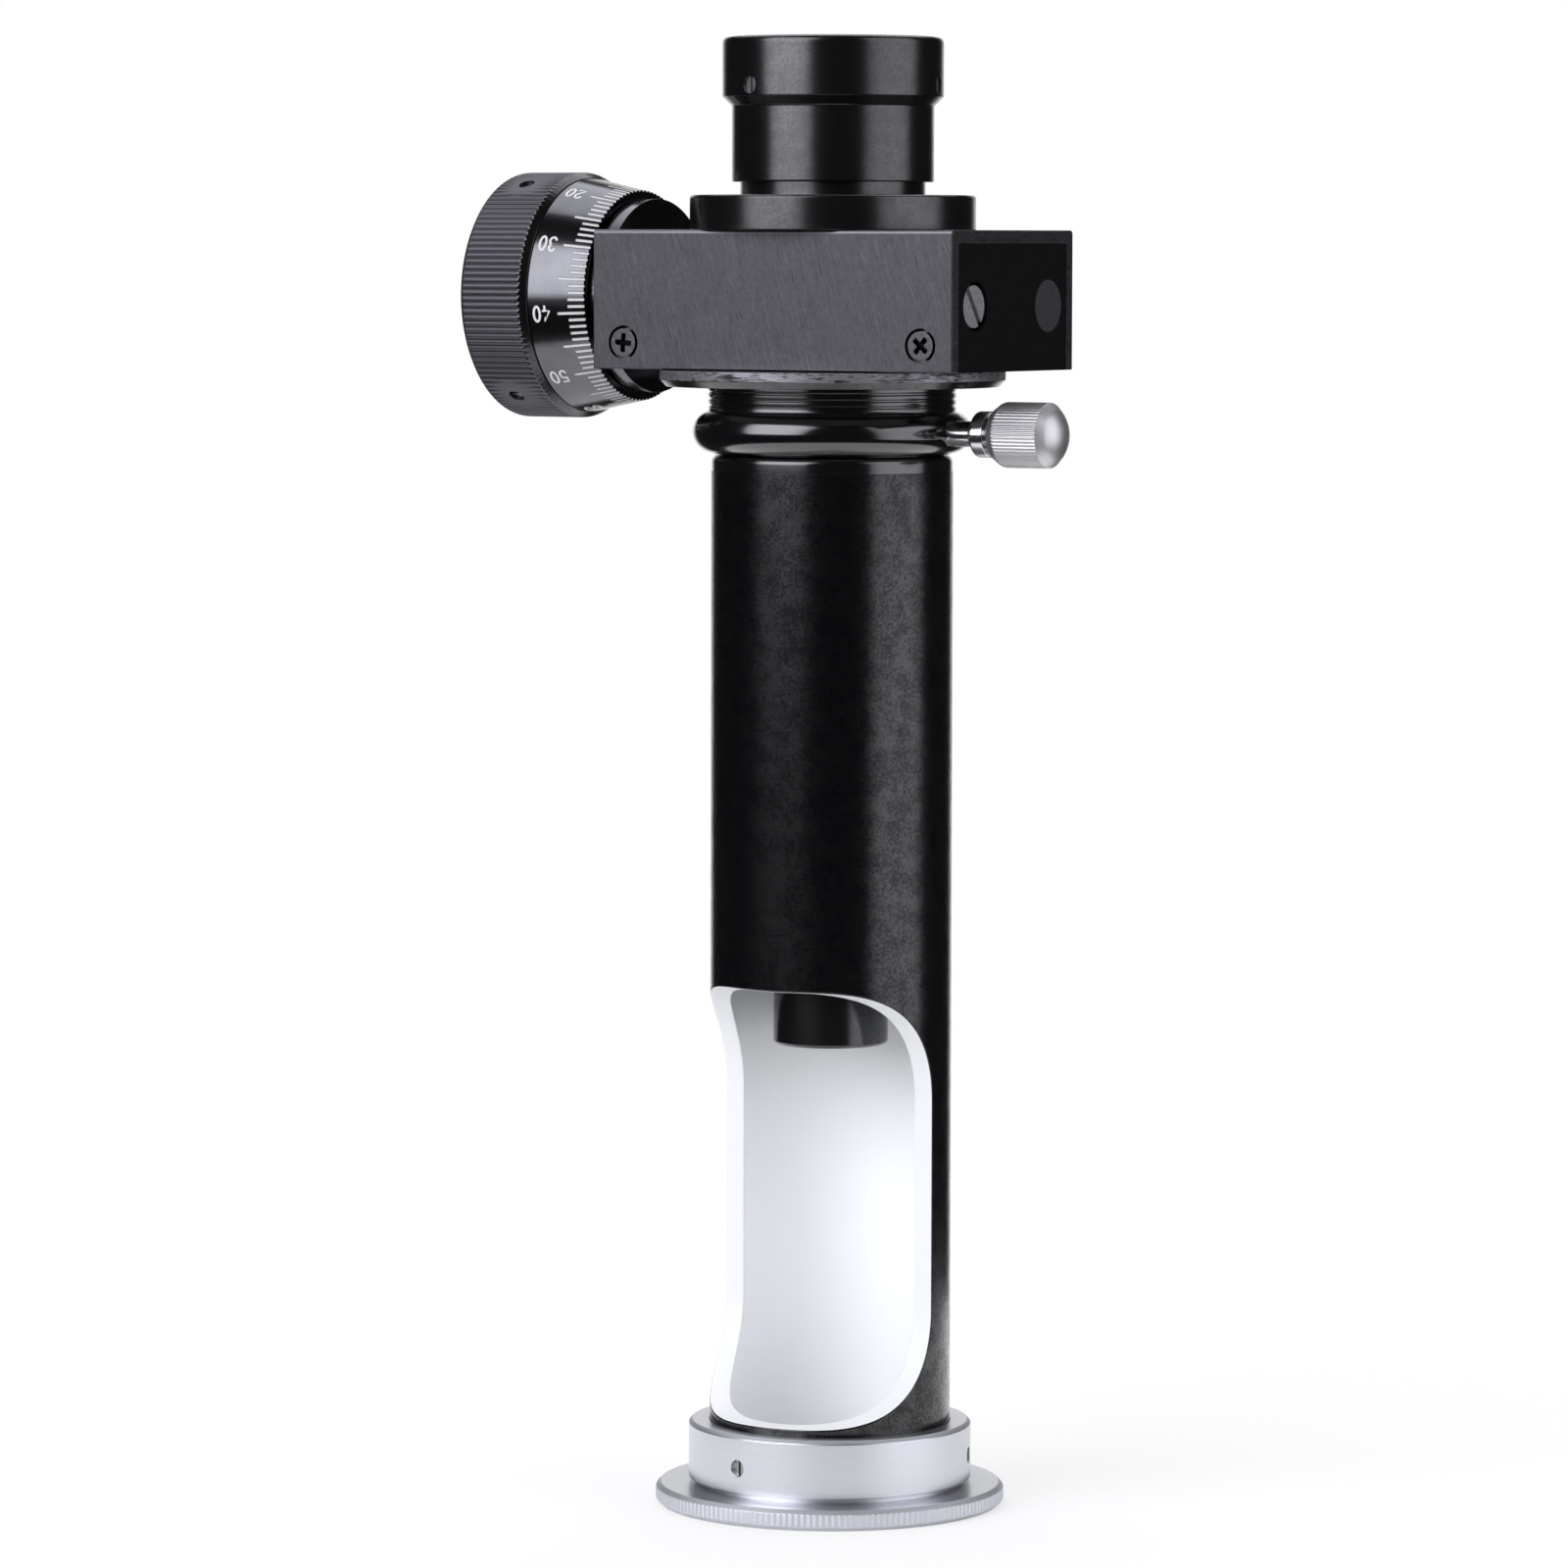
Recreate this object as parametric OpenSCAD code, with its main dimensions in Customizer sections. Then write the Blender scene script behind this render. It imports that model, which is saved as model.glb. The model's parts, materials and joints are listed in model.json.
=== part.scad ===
// Measuring microscope: a windowed tube on a round foot carries a sliding draw tube with the objective,
// a measuring head whose drum moves a crosshair along a glass scale, and a focusing eyepiece.
// Origin: centre of the foot's underside. +Z runs up the optical axis, the drum lies along -X,
// the clamping screw along +X, and the lighting window faces -Y. All lengths are in millimetres.

/* [Foot] */
// Diameter of the knurled flange that stands on the specimen
flange_d = 40.6; // [39:0.2:46]
// Thickness of the flange
flange_t = 2.4; // [2:0.1:4]
// Diameter of the hole over the specimen
aperture_d = 22; // [18:0.5:22.6]
// Outside diameter of the ring that grips the tube
ring_d = 32.9; // [32.4:0.1:36]
// Height of the ring above the flange
ring_h = 7.35; // [6:0.05:10]
// Number of teeth around the flange
flange_teeth = 180; // [120:4:240]
// Diameter of the foot's grub screws
foot_screw_d = 1.9; // [1.6:0.1:2.4]

/* [Tube] */
// Outside diameter of the tube
tube_d = 28; // [27.6:0.1:29]
// Wall of the tube
tube_wall = 2.4; // [2:0.1:2.8]
// Length of the tube
tube_len = 117.9; // [110:0.1:140]
// Radius of the window's round ends
window_r = 13; // [10:0.5:14]
// Height of the window
window_h = 50.4; // [44:0.1:56]
// Height of the window's lower edge above the foot ring
window_sill = 0.85; // [0.5:0.05:6]
// Distance of the window's cutting plane in front of the axis
window_cut = 0.5; // [0:0.1:4]

/* [Collar] */
// Length of the spigot inside the tube
spigot_len = 8; // [5:0.5:12]
// Height of the lip between tube and bead
lip_h = 2; // [1:0.1:3]
// Diameter of the lip
lip_d = 27.4; // [26.5:0.1:27.6]
// Radius of the bead's round section
bead_r = 2.5; // [2.2:0.1:3]
// Largest diameter over the bead
bead_d = 32.5; // [32:0.1:35]
// Diameter of the neck
neck_d = 28.7; // [28:0.1:30]
// Height of the neck
neck_h = 2.7; // [2.4:0.1:6]

/* [Draw tube] */
// Outside diameter of the draw tube
draw_d = 20; // [19.6:0.1:20.6]
// Wall of the draw tube
draw_wall = 1.3; // [1:0.1:1.4]
// Length of the draw tube below the swivel disc
draw_len = 58; // [50:1:62]
// Diameter of the swivel disc
disc_d = 40; // [34:0.5:42]
// Thickness of the swivel disc
disc_t = 1.9; // [1.5:0.1:3]

/* [Objective] */
// Diameter of the objective barrel
objective_d = 13.3; // [12.6:0.1:15]
// Drop of the barrel's end below the window's top edge
objective_drop = 7.2; // [2:0.1:12]
// Diameter of the objective lens
objective_lens_d = 11.2; // [10:0.1:11.6]

/* [Head box] */
// Length of the box along the drum axis
box_l = 48; // [47:0.5:52]
// Depth of the box
box_w = 27.5; // [27:0.1:32]
// Height of the box
box_h = 16; // [15.6:0.1:18]
// Thickness of the folded cover
cover_t = 1.5; // [1:0.1:1.8]
// Height of the drum axis above the box's underside
axis_h = 8.3; // [8:0.1:8.6]
// Thickness of the box's floor
floor_t = 4.2; // [3.6:0.1:4.3]
// Distance of the cover screws from the box's ends
cover_screw_inset = 4.1; // [3.6:0.1:5]
// Diameter of the cover screws' countersunk heads
cover_screw_head_d = 3.4; // [3:0.1:4]

/* [Carriage] */
// Travel of the crosshair to each side
travel = 4; // [3:0.1:4.2]
// Depth of the carriage frame
carriage_w = 20.4; // [20:0.1:20.8]
// Height of the carriage frame
carriage_h = 7.2; // [7:0.1:7.6]
// Diameter of the guide rods
rod_d = 2.5; // [2:0.1:2.8]
// Distance of the guide rods' axes from the carriage's sides
rod_inset = 2; // [1.8:0.05:2.2]
// Diameter of the lead screw's thread
lead_d = 4; // [3.6:0.1:4.2]
// Wire of the return springs
spring_wire_d = 0.4; // [0.3:0.05:0.45]
// Curls of each return spring
spring_turns = 6; // [4:1:6]

/* [Drum] */
// Diameter over the knurled ring
knurl_d = 28.8; // [28.4:0.2:32]
// Width of the knurled ring
knurl_w = 8.6; // [8:0.1:12]
// Number of teeth around the knurled ring
knurl_teeth = 120; // [90:2:150]
// Diameter of the graduated cone beside the knurled ring
cone_big_d = 27.4; // [26.8:0.2:27.6]
// Diameter of the graduated cone at its free edge
cone_small_d = 24.6; // [24:0.2:26]
// Length of the graduated cone
cone_l = 6.9; // [6.5:0.1:9]
// Divisions around the drum
divisions = 100; // [50:50:100]
// Length of the short graduation lines
short_line = 2; // [1:0.1:2.4]
// Length of every fifth graduation line
long_line = 3.3; // [2.6:0.1:4]
// Diameter of the bearing sleeve beside the box
sleeve_d = 22.6; // [22:0.2:23.4]
// Length of the sleeve that shows beside the box
sleeve_l = 2.1; // [1:0.1:4]

/* [Eyepiece] */
// Diameter of the eyepiece flange
holder_d = 33; // [30:0.5:36]
// Thickness of the eyepiece flange
holder_t = 4; // [3:0.1:6]
// Diameter of the eyepiece barrel
barrel_d = 23.3; // [23.2:0.1:24]
// Length of the barrel's straight part
barrel_l = 8.7; // [8:0.1:12]
// Step from the barrel out to the cap
cap_step = 1.1; // [0.9:0.05:2]
// Height of the eyepiece cap
cap_h = 6.8; // [6.4:0.1:9]
// Gap below the barrel at rest
barrel_gap = 1.5; // [1.4:0.1:3]
// Diameter of the eye lens
eye_lens_d = 16; // [14:0.2:16.4]
// Diameter of the field lens
field_lens_d = 16.6; // [14:0.2:17]

/* [Clamping screw] */
// Diameter of the clamping screw's thread
lock_d = 3; // [2.5:0.1:3.2]
// Diameter of the clamping screw's knob
lock_knob_d = 7.5; // [6:0.1:9]
// Length of the knob's knurled part
lock_knob_l = 6.9; // [5:0.1:10]
// Number of teeth around the knob
lock_teeth = 32; // [20:2:40]

/* [Fits] */
// Radial clearance between pieces that turn or slide
run_fit = 0.03; // [0.02:0.01:0.05]
// Radial clearance between pieces that stay together
seat_fit = 0.01; // [0.01:0.005:0.02]
// Gap between faces that move past each other
face_gap = 0.1; // [0.05:0.01:0.15]

/* [Hidden] */
$fn = 96;

// Small overlap that keeps cuts clean
eps = 0.01;
// Depth of a knurl's teeth and of a graduation line
knurl_depth = 0.25;
line_depth = 0.12;
// Step from a knurl's root down to the chamfer beside it
root_step = 0.04;
line_w = 0.28;
edge = 0.4;

cap_d = barrel_d + 2 * cap_step;

// Heights along the optical axis, from the foot up
z_ring_top = flange_t + ring_h;
z_tube_top = flange_t + tube_len;
z_lip_top = z_tube_top + lip_h;
z_bead = z_lip_top + bead_r;
z_neck_top = z_bead + bead_r + neck_h;
z_disc_top = z_neck_top + disc_t;
z_box = z_disc_top + face_gap;
z_floor = z_box + floor_t;
z_axis = z_box + axis_h;
z_block_top = z_box + box_h - cover_t;
z_box_top = z_box + box_h;
z_holder_top = z_box_top + holder_t;
z_barrel = z_holder_top + barrel_gap;
z_taper = z_barrel + barrel_l;
z_cap = z_taper + cap_step;
z_top = z_cap + cap_h;

// Foot and window
tooth_depth = 0.15;
groove_h = 0.6;
foot_screw_z = flange_t + 3.5;
foot_screw_turn = -9;
z_window = z_ring_top + window_sill;
tube_r = tube_d / 2;
bore_r = tube_r - tube_wall;

// Draw tube and the pivot of the head
draw_r = draw_d / 2;
draw_bore_r = draw_r - draw_wall;
draw_rib_h = 2;
pivot_len = 9;
z_rib = z_disc_top - pivot_len;
rib_r = draw_bore_r - 0.9;
pivot_bore_r = 6.2;
pivot_top_r = 7.5;
disc_bore_r = draw_r - 0.6;
clip_t = 0.9;
clip_groove_depth = 0.4;
z_clip_top = z_rib - draw_rib_h - face_gap;

// Objective
z_objective = z_window + window_h - objective_drop;
z_draw = z_neck_top - draw_len;
objective_seat = 7;
objective_lip = 1;
objective_lens_t = 4;
objective_lens_sag = 0.8;
objective_ring_t = 1.5;
objective_lens_r = objective_lens_d / 2;

// Inside of the box
block_gap = 0.02;
block_recess = 0.1;
block_w = box_w - 2 * cover_t - 2 * block_gap;
block_l = box_l - 2 * block_recess;
cavity_w = carriage_w + 0.8;
rod_drop = 0.9;
rod_z = z_axis - rod_drop;
rod_y = carriage_w / 2 - rod_inset;
rod_in_wall = 1.8;
plug_r = 3;
rod_screw_r = 2.4;
rod_screw_recess_r = 2.8;
rod_head_depth = 2.5;
cover_screw_z = z_box + 3;
cover_screw_x = box_l / 2 - cover_screw_inset;
cover_screw_r = 1;
cover_screw_l = 5;
cover_screw_room = 0.5;
holder_screw_turn = 45;
holder_screw_reach = 12.5;
holder_screw_head_r = 1.6;
holder_screw_l = 4;
holder_screw_room = 0.3;

// Carriage
drum_wall = 3;
end_wall = 5;
z_frame = z_axis - carriage_h / 2;
z_frame_top = z_axis + carriage_h / 2;
slot_r = 4.4;
slot_half_l = slot_r + travel - 0.2;
glass_t = 1;
glass_half_l = slot_half_l + 1.2;
glass_half_w = slot_r + 1;
nut_r = 3.4;
nut_seat_r = 2.9;
nut_l = 4.6;
nut_room = 0.4;
spring_r = rod_d / 2 + 0.65;
spring_room = (spring_turns + 1) * spring_wire_d + 0.2;
x_cavity_a = drum_wall - box_l / 2;
x_cavity_b = box_l / 2 - end_wall;
x_frame_a = x_cavity_a + nut_room + travel + nut_l;
x_frame_b = x_cavity_b - travel - spring_room;
nut_seat_l = -glass_half_l - 0.3 - x_frame_a;

// Drum
x_box_a = -box_l / 2;
x_sleeve = x_box_a - sleeve_l;
x_cone = x_sleeve - 0.2;
x_cone_big = x_cone - cone_l;
knurl_chamfer = 0.8;
x_knurl = x_cone_big - 0.1 - knurl_chamfer;
x_knurl_end = x_knurl - knurl_w;
knurl_wall = 1.5;
web_t = 2;
x_web_out = x_knurl_end + knurl_wall;
x_web = x_web_out + web_t;
tail_r = 12;
thimble_bore_r = 10.6;
sleeve_inner_r = thimble_bore_r - 0.3;
journal_r = 3;
x_bush_end = x_web + 0.75;
sleeve_spigot_r = box_h - cover_t - axis_h - 0.4;
sleeve_spigot_l = 2;
x_spigot = x_box_a + sleeve_spigot_l;
lead_tip = -travel - 2;
lead_flange_r = 4.5;
lead_clip_t = 0.6;
lead_clip_r = 4;
end_screw_r = 1.25;
end_head_r = 3.1;
zero_turn = 225;
drum_screw_turn = -65;
x_drum_screw = x_knurl_end + knurl_w / 2;
drum_screw_r = 0.9;

// Eyepiece
neck_r = barrel_d / 2 - 0.95;
neck_l = 7;
shoulder_gap = 1.3;
holder_bore_r = 8;
holder_lip_r = 7;
z_holder = z_frame_top + 2 * face_gap;
holder_lip_t = 0.3;
scale_glass_t = 1.2;
scale_ring_t = 1;
spigot_r = 9;
cell_r = 9.5;
z_neck_end = z_holder_top + neck_l;
z_cell_seat = z_neck_end + shoulder_gap;
z_cell = z_cell_seat + 0.3;
cap_roof = 1.5;
cup_rim = 2.15;
cup_gap = 0.3;
z_cell_top = z_top - cap_roof - 0.3;
eye_lens_t = 2.4;
eye_lens_sag = 0.9;
lens_ring_t = 0.8;
field_lens_t = 1.8;
field_lens_sag = 0.7;
barrel_spigot_r = barrel_d / 2 - 0.25;
cap_screw_z = z_cap + 1.2;
cap_screw_r = 1;
cap_screw_turn = -17;

// Clamping screw
pad_l = 1.5;
x_pad = draw_r + 0.03;
x_lock_tip = x_pad + pad_l;
x_lock_shoulder = bead_d / 2 + 2.75;
lock_shoulder_l = 2.4;
lock_groove_l = 0.7;
x_lock_knob = x_lock_shoulder + lock_shoulder_l + lock_groove_l;
lock_dome = 1.8;

// A disc with triangular teeth along its rim, standing on z = 0
module toothed_disc(tip_r, depth, teeth, height) {
  points = [
    for (i = [0 : 2 * teeth - 1])
      let (r = i % 2 == 0 ? tip_r : tip_r - depth, a = i * 180 / teeth)
        [r * cos(a), r * sin(a)]
  ];
  linear_extrude(height) polygon(points);
}

// A straight hole or shaft along the optical axis from z0 to z1
module upright(r, z0, z1) {
  translate([0, 0, z0]) cylinder(r = r, h = z1 - z0);
}

// Children drawn along Z are laid along the drum axis, where their height becomes X
module on_drum_axis() {
  translate([0, 0, z_axis]) rotate([0, 90, 0]) children();
}

// A shaft along X from x0 to x1 through the point y, z
module shaft_x(r, x0, x1, y, z) {
  translate([x0, y, z]) rotate([0, 90, 0]) cylinder(r = r, h = x1 - x0);
}

// Copies that point outwards along +X, spread around the optical axis from a first turn measured from -Y
module spread(count, first_turn, z) {
  for (i = [0 : count - 1])
    rotate([0, 0, first_turn - 90 + i * 360 / count])
      translate([0, 0, z]) rotate([0, 90, 0]) children();
}

// Copies spread around the drum axis from a first turn measured from -Y towards -Z
module spread_on_drum(count, first_turn) {
  on_drum_axis()
    for (i = [0 : count - 1])
      rotate([0, 0, first_turn - 90 + i * 360 / count]) rotate([0, 90, 0]) children();
}

// The corner outside a quarter circle, turned around the axis, that rounds an outer top edge
module round_top(r, z, fillet) {
  rotate_extrude()
    difference() {
      translate([r - fillet, z - fillet]) square([fillet + 1, fillet + 1]);
      translate([r - fillet, z - fillet]) circle(r = fillet);
    }
}

// A screw without a thread: slotted grub, from z0 to z1 along its own axis
module grub(r, z0, z1) {
  slot_w = 0.35;
  slot_depth = 0.5;
  difference() {
    upright(r, z0, z1);
    translate([-r - eps, -slot_w / 2, z1 - slot_depth]) cube([2 * r + 2 * eps, slot_w, slot_depth + eps]);
  }
}

// A countersunk screw with a cross recess, head face at z = 0 and shank down to -length
module countersunk(head_r, shank_r, length) {
  head_h = head_r - shank_r;
  arm_w = 0.45;
  arm_l = 1.5 * head_r - 0.4;
  recess = 0.8;
  difference() {
    union() {
      translate([0, 0, -head_h]) cylinder(r1 = shank_r, r2 = head_r, h = head_h);
      translate([0, 0, -length]) cylinder(r = shank_r, h = length - head_h);
    }
    for (turn = [0, 90])
      rotate([0, 0, turn])
        translate([-arm_l / 2, -arm_w / 2, -recess]) cube([arm_l, arm_w, recess + eps]);
  }
}

// The room that a countersunk screw needs
module countersunk_hole(head_r, shank_r, length) {
  head_h = head_r - shank_r;
  translate([0, 0, -head_h]) cylinder(r1 = shank_r, r2 = head_r, h = head_h);
  translate([0, 0, -eps]) cylinder(r = head_r, h = 1);
  translate([0, 0, -length]) cylinder(r = shank_r, h = length);
}

// Radius of the sphere that bulges by sag over a disc of radius r
function dome_r(r, sag) = (r * r + sag * sag) / (2 * sag);

// Height of that bulge above the disc's rim at distance x from the axis
function dome_height(r, sag, x) = sqrt(pow(dome_r(r, sag), 2) - x * x) - dome_r(r, sag) + sag;

// A lens or dome of rim thickness t from z up, flat below and bulging by sag above
module lens(r, z, t, sag) {
  rotate_extrude()
    intersection() {
      translate([0, z]) square([r, t + sag]);
      translate([0, z + t + sag - dome_r(r, sag)]) circle(r = dome_r(r, sag), $fn = 720);
    }
}

// A flat ring on the optical axis
module washer(r_out, r_in, z, t) {
  difference() {
    upright(r_out, z, z + t);
    upright(r_in, z - eps, z + t + eps);
  }
}

module foot() {
  rim_r = flange_d / 2;
  root_r = rim_r - tooth_depth - root_step;
  ring_r = ring_d / 2;
  chamfer = 0.35;
  color("gainsboro")
    difference() {
      union() {
        cylinder(r1 = root_r - chamfer, r2 = root_r, h = chamfer);
        translate([0, 0, chamfer])
          toothed_disc(rim_r, tooth_depth, flange_teeth, flange_t - 2 * chamfer);
        translate([0, 0, flange_t - chamfer])
          cylinder(r1 = root_r, r2 = root_r - chamfer, h = chamfer);
        upright(ring_r - groove_h, flange_t - eps, flange_t + groove_h + eps);
        upright(ring_r, flange_t + groove_h, z_ring_top - edge);
        translate([0, 0, z_ring_top - edge]) cylinder(r1 = ring_r, r2 = ring_r - edge, h = edge);
      }
      upright(aperture_d / 2, -eps, flange_t + eps);
      upright(tube_r + seat_fit, flange_t, z_ring_top + eps);
      spread(3, foot_screw_turn, foot_screw_z) upright(foot_screw_d / 2, aperture_d / 2, flange_d);
    }
}

module foot_set_screws() {
  sunk = 0.5;
  color("dimgray")
    spread(3, foot_screw_turn, foot_screw_z)
      grub(foot_screw_d / 2 - seat_fit, tube_r + seat_fit, ring_d / 2 - sunk);
}

module window_cut_out() {
  reach = tube_d;
  for (z = [z_window + window_r, z_window + window_h - window_r])
    translate([0, -window_cut - window_r, z])
      rotate([0, 90, 0]) cylinder(r = window_r, h = 2 * reach, center = true);
  translate([-reach, -window_cut - 2 * window_r, z_window + window_r])
    cube([2 * reach, 2 * window_r, window_h - 2 * window_r]);
}

module tube() {
  shoulder = 0.8;
  color("black")
    difference() {
      upright(tube_r, flange_t, z_tube_top);
      upright(bore_r, flange_t - eps, z_tube_top + eps);
      window_cut_out();
      round_top(tube_r, z_tube_top, shoulder);
    }
}

module collar() {
  neck_r_out = neck_d / 2;
  groove = 0.2;
  groove_pitch = 0.75;
  lock_hole_r = lock_d / 2 + run_fit;
  color("black")
    difference() {
      union() {
        upright(bore_r - seat_fit, z_tube_top - spigot_len, z_tube_top + eps);
        upright(lip_d / 2, z_tube_top, z_bead);
        translate([0, 0, z_bead])
          rotate_extrude() {
            translate([bead_d / 2 - bead_r, 0]) circle(r = bead_r);
            translate([draw_r, -bead_r]) square([bead_d / 2 - bead_r - draw_r, 2 * bead_r]);
          }
        upright(neck_r_out, z_bead, z_neck_top);
      }
      upright(draw_r + run_fit, z_tube_top - spigot_len - eps, z_neck_top + eps);
      for (i = [1 : 3])
        washer(neck_r_out + 1, neck_r_out - groove, z_neck_top - i * groove_pitch, groove);
      shaft_x(lock_hole_r, 0, bead_d, 0, z_bead);
    }
}

module lock_pad() {
  color("goldenrod")
    shaft_x(lock_d / 2 - run_fit, x_pad, x_lock_tip, 0, z_bead);
}

module lock_screw() {
  shoulder_r = 2.65;
  groove_r = 1.9;
  taper = 0.8;
  knob_r = lock_knob_d / 2;
  knob_depth = 0.2;
  root_r = knob_r - knob_depth - root_step;
  knob_end = x_lock_knob + lock_knob_l;
  color("silver")
    difference() {
      translate([0, 0, z_bead]) rotate([0, 90, 0]) {
        upright(lock_d / 2 - run_fit, x_lock_tip + face_gap / 5, x_lock_shoulder + eps);
        translate([0, 0, x_lock_shoulder])
          cylinder(r1 = lock_d / 2, r2 = shoulder_r, h = taper);
        upright(shoulder_r, x_lock_shoulder + taper, x_lock_shoulder + lock_shoulder_l);
        upright(groove_r, x_lock_shoulder + lock_shoulder_l - eps, x_lock_knob + eps);
        translate([0, 0, x_lock_knob])
          cylinder(r1 = knob_r - taper, r2 = root_r, h = taper);
        translate([0, 0, x_lock_knob + taper])
          toothed_disc(knob_r, knob_depth, lock_teeth, lock_knob_l - taper);
        lens(root_r, knob_end - eps, 0.2, lock_dome - 0.2);
      }
    }
}

module draw_tube() {
  color("black")
    difference() {
      union() {
        upright(draw_r, z_draw, z_neck_top);
        upright(disc_bore_r - seat_fit, z_neck_top - eps, z_disc_top);
      }
      upright(draw_bore_r, z_draw - eps, z_rib - draw_rib_h);
      upright(rib_r, z_draw, z_disc_top);
      upright(draw_bore_r, z_rib, z_disc_top + eps);
    }
}

module swivel_disc() {
  chamfer = 0.8;
  color("black")
    difference() {
      union() {
        translate([0, 0, z_neck_top])
          cylinder(r1 = disc_d / 2 - chamfer, r2 = disc_d / 2, h = chamfer);
        upright(disc_d / 2, z_neck_top + chamfer, z_disc_top);
      }
      upright(disc_bore_r, z_neck_top - eps, z_disc_top + eps);
    }
}

module objective_barrel() {
  chamfer = 0.3;
  color("black")
    difference() {
      union() {
        translate([0, 0, z_objective])
          cylinder(r1 = objective_d / 2 - chamfer, r2 = objective_d / 2, h = chamfer);
        upright(objective_d / 2, z_objective + chamfer, z_draw + 1 + eps);
        upright(draw_bore_r - seat_fit, z_draw + 1, z_draw + 1 + objective_seat);
      }
      upright(objective_lens_r + seat_fit, z_objective + objective_lip, z_draw + objective_seat + 2);
      upright(objective_lens_r - 0.8, z_objective - eps, z_objective + objective_lip + eps);
    }
}

module objective_lens() {
  color("lightcyan")
    lens(objective_lens_r, z_objective + objective_lip, objective_lens_t, objective_lens_sag);
}

module objective_ring() {
  inner_r = objective_lens_r - 1.1;
  rim = z_objective + objective_lip + objective_lens_t;
  rise = dome_height(objective_lens_r, objective_lens_sag, inner_r);
  color("black") washer(objective_lens_r, inner_r, rim + rise, objective_ring_t);
}

module pivot_sleeve() {
  groove_z = z_clip_top - clip_t;
  tail = 0.9;
  color("dimgray")
    difference() {
      union() {
        upright(rib_r - run_fit, groove_z - tail, z_rib + face_gap + eps);
        upright(draw_bore_r - run_fit, z_rib + face_gap, z_box);
        upright(pivot_top_r - seat_fit, z_box - eps, z_floor - 1);
      }
      washer(rib_r + 1, rib_r - run_fit - clip_groove_depth, groove_z, clip_t);
      upright(pivot_bore_r, groove_z - tail - eps, z_floor);
    }
}

module pivot_clip() {
  color("silver")
    washer(draw_bore_r - 0.2, rib_r - run_fit - clip_groove_depth, z_clip_top - clip_t, clip_t);
}

module housing_block() {
  color("black")
    difference() {
      translate([-block_l / 2, -block_w / 2, z_box]) cube([block_l, block_w, z_block_top - z_box]);
      translate([x_cavity_a, -cavity_w / 2, z_floor])
        cube([x_cavity_b - x_cavity_a, cavity_w, box_h]);
      upright(pivot_top_r, z_box - eps, z_floor + eps);
      shaft_x(sleeve_spigot_r, x_box_a - 1, x_spigot, 0, z_axis);
      shaft_x(lead_clip_r + 0.6, x_box_a, x_cavity_a + eps, 0, z_axis);
      for (side = [-1, 1])
        shaft_x(rod_d / 2, x_cavity_a - rod_in_wall, box_l / 2, side * rod_y, rod_z);
      shaft_x(rod_screw_recess_r, box_l / 2 - rod_head_depth, box_l / 2, -rod_y, rod_z);
      shaft_x(plug_r, box_l / 2 - rod_head_depth, box_l / 2, rod_y, rod_z);
      cover_screw_places()
        countersunk_hole(cover_screw_head_d / 2, cover_screw_r, cover_screw_l + cover_screw_room);
    }
}

// Children at each cover screw, with their Z pointing out of the box's side
module cover_screw_places() {
  for (side = [-1, 1], end = [-1, 1])
    translate([end * cover_screw_x, side * box_w / 2, cover_screw_z]) rotate([-side * 90, 0, 0]) children();
}

// Children at each screw between cover and eyepiece flange, with their Z pointing down
module holder_screw_places() {
  for (i = [0 : 3])
    rotate([0, 0, holder_screw_turn + i * 90])
      translate([holder_screw_reach, 0, z_block_top]) rotate([180, 0, 0]) children();
}

module cover() {
  color("dimgray")
    difference() {
      translate([x_box_a, -box_w / 2, z_box]) cube([box_l, box_w, box_h]);
      translate([x_box_a - 1, -box_w / 2 + cover_t, z_box - 1])
        cube([box_l + 2, box_w - 2 * cover_t, box_h - cover_t + 1]);
      upright(spigot_r, z_block_top - 1, z_box_top + 1);
      cover_screw_places()
        countersunk_hole(cover_screw_head_d / 2, cover_screw_r, cover_screw_l + cover_screw_room);
      holder_screw_places()
        countersunk_hole(holder_screw_head_r, cover_screw_r, holder_screw_l + holder_screw_room);
    }
}

module cover_screws() {
  color("gray")
    cover_screw_places()
      countersunk(cover_screw_head_d / 2 - seat_fit, cover_screw_r - seat_fit, cover_screw_l);
}

module holder_screws() {
  color("gray")
    holder_screw_places()
      countersunk(holder_screw_head_r - seat_fit, cover_screw_r - seat_fit, holder_screw_l);
}

module guide_rods() {
  color("silver")
    for (side = [-1, 1])
      shaft_x(
        rod_d / 2 - seat_fit, x_cavity_a - rod_in_wall + face_gap, box_l / 2 - rod_head_depth,
        side * rod_y, rod_z
      );
}

module rod_screw() {
  sunk = 0.4;
  slot_w = 0.7;
  slot_depth = 0.7;
  face = box_l / 2 - sunk;
  color("gray")
    difference() {
      shaft_x(rod_screw_r, box_l / 2 - rod_head_depth, face, -rod_y, rod_z);
      translate([face - slot_depth, -rod_y, rod_z])
        rotate([35, 0, 0]) translate([0, -slot_w / 2, -rod_screw_r - 1]) cube([1, slot_w, 2 * rod_screw_r + 2]);
    }
}

module rod_plug() {
  color("dimgray")
    shaft_x(plug_r - seat_fit, box_l / 2 - rod_head_depth, box_l / 2 - block_recess, rod_y, rod_z);
}

module bearing_sleeve() {
  index_depth = 0.12;
  color("black")
    difference() {
      on_drum_axis() {
        upright(sleeve_inner_r, x_bush_end, x_sleeve + eps);
        upright(sleeve_d / 2, x_sleeve, x_box_a);
        upright(sleeve_spigot_r - seat_fit, x_box_a - eps, x_spigot);
      }
      on_drum_axis() upright(journal_r + run_fit, x_bush_end - eps, x_spigot + eps);
      spread_on_drum(1, zero_turn)
        translate([-x_box_a - 1, -line_w / 2, sleeve_d / 2 - index_depth])
          cube([sleeve_l + 2, line_w, 1]);
    }
}

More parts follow.
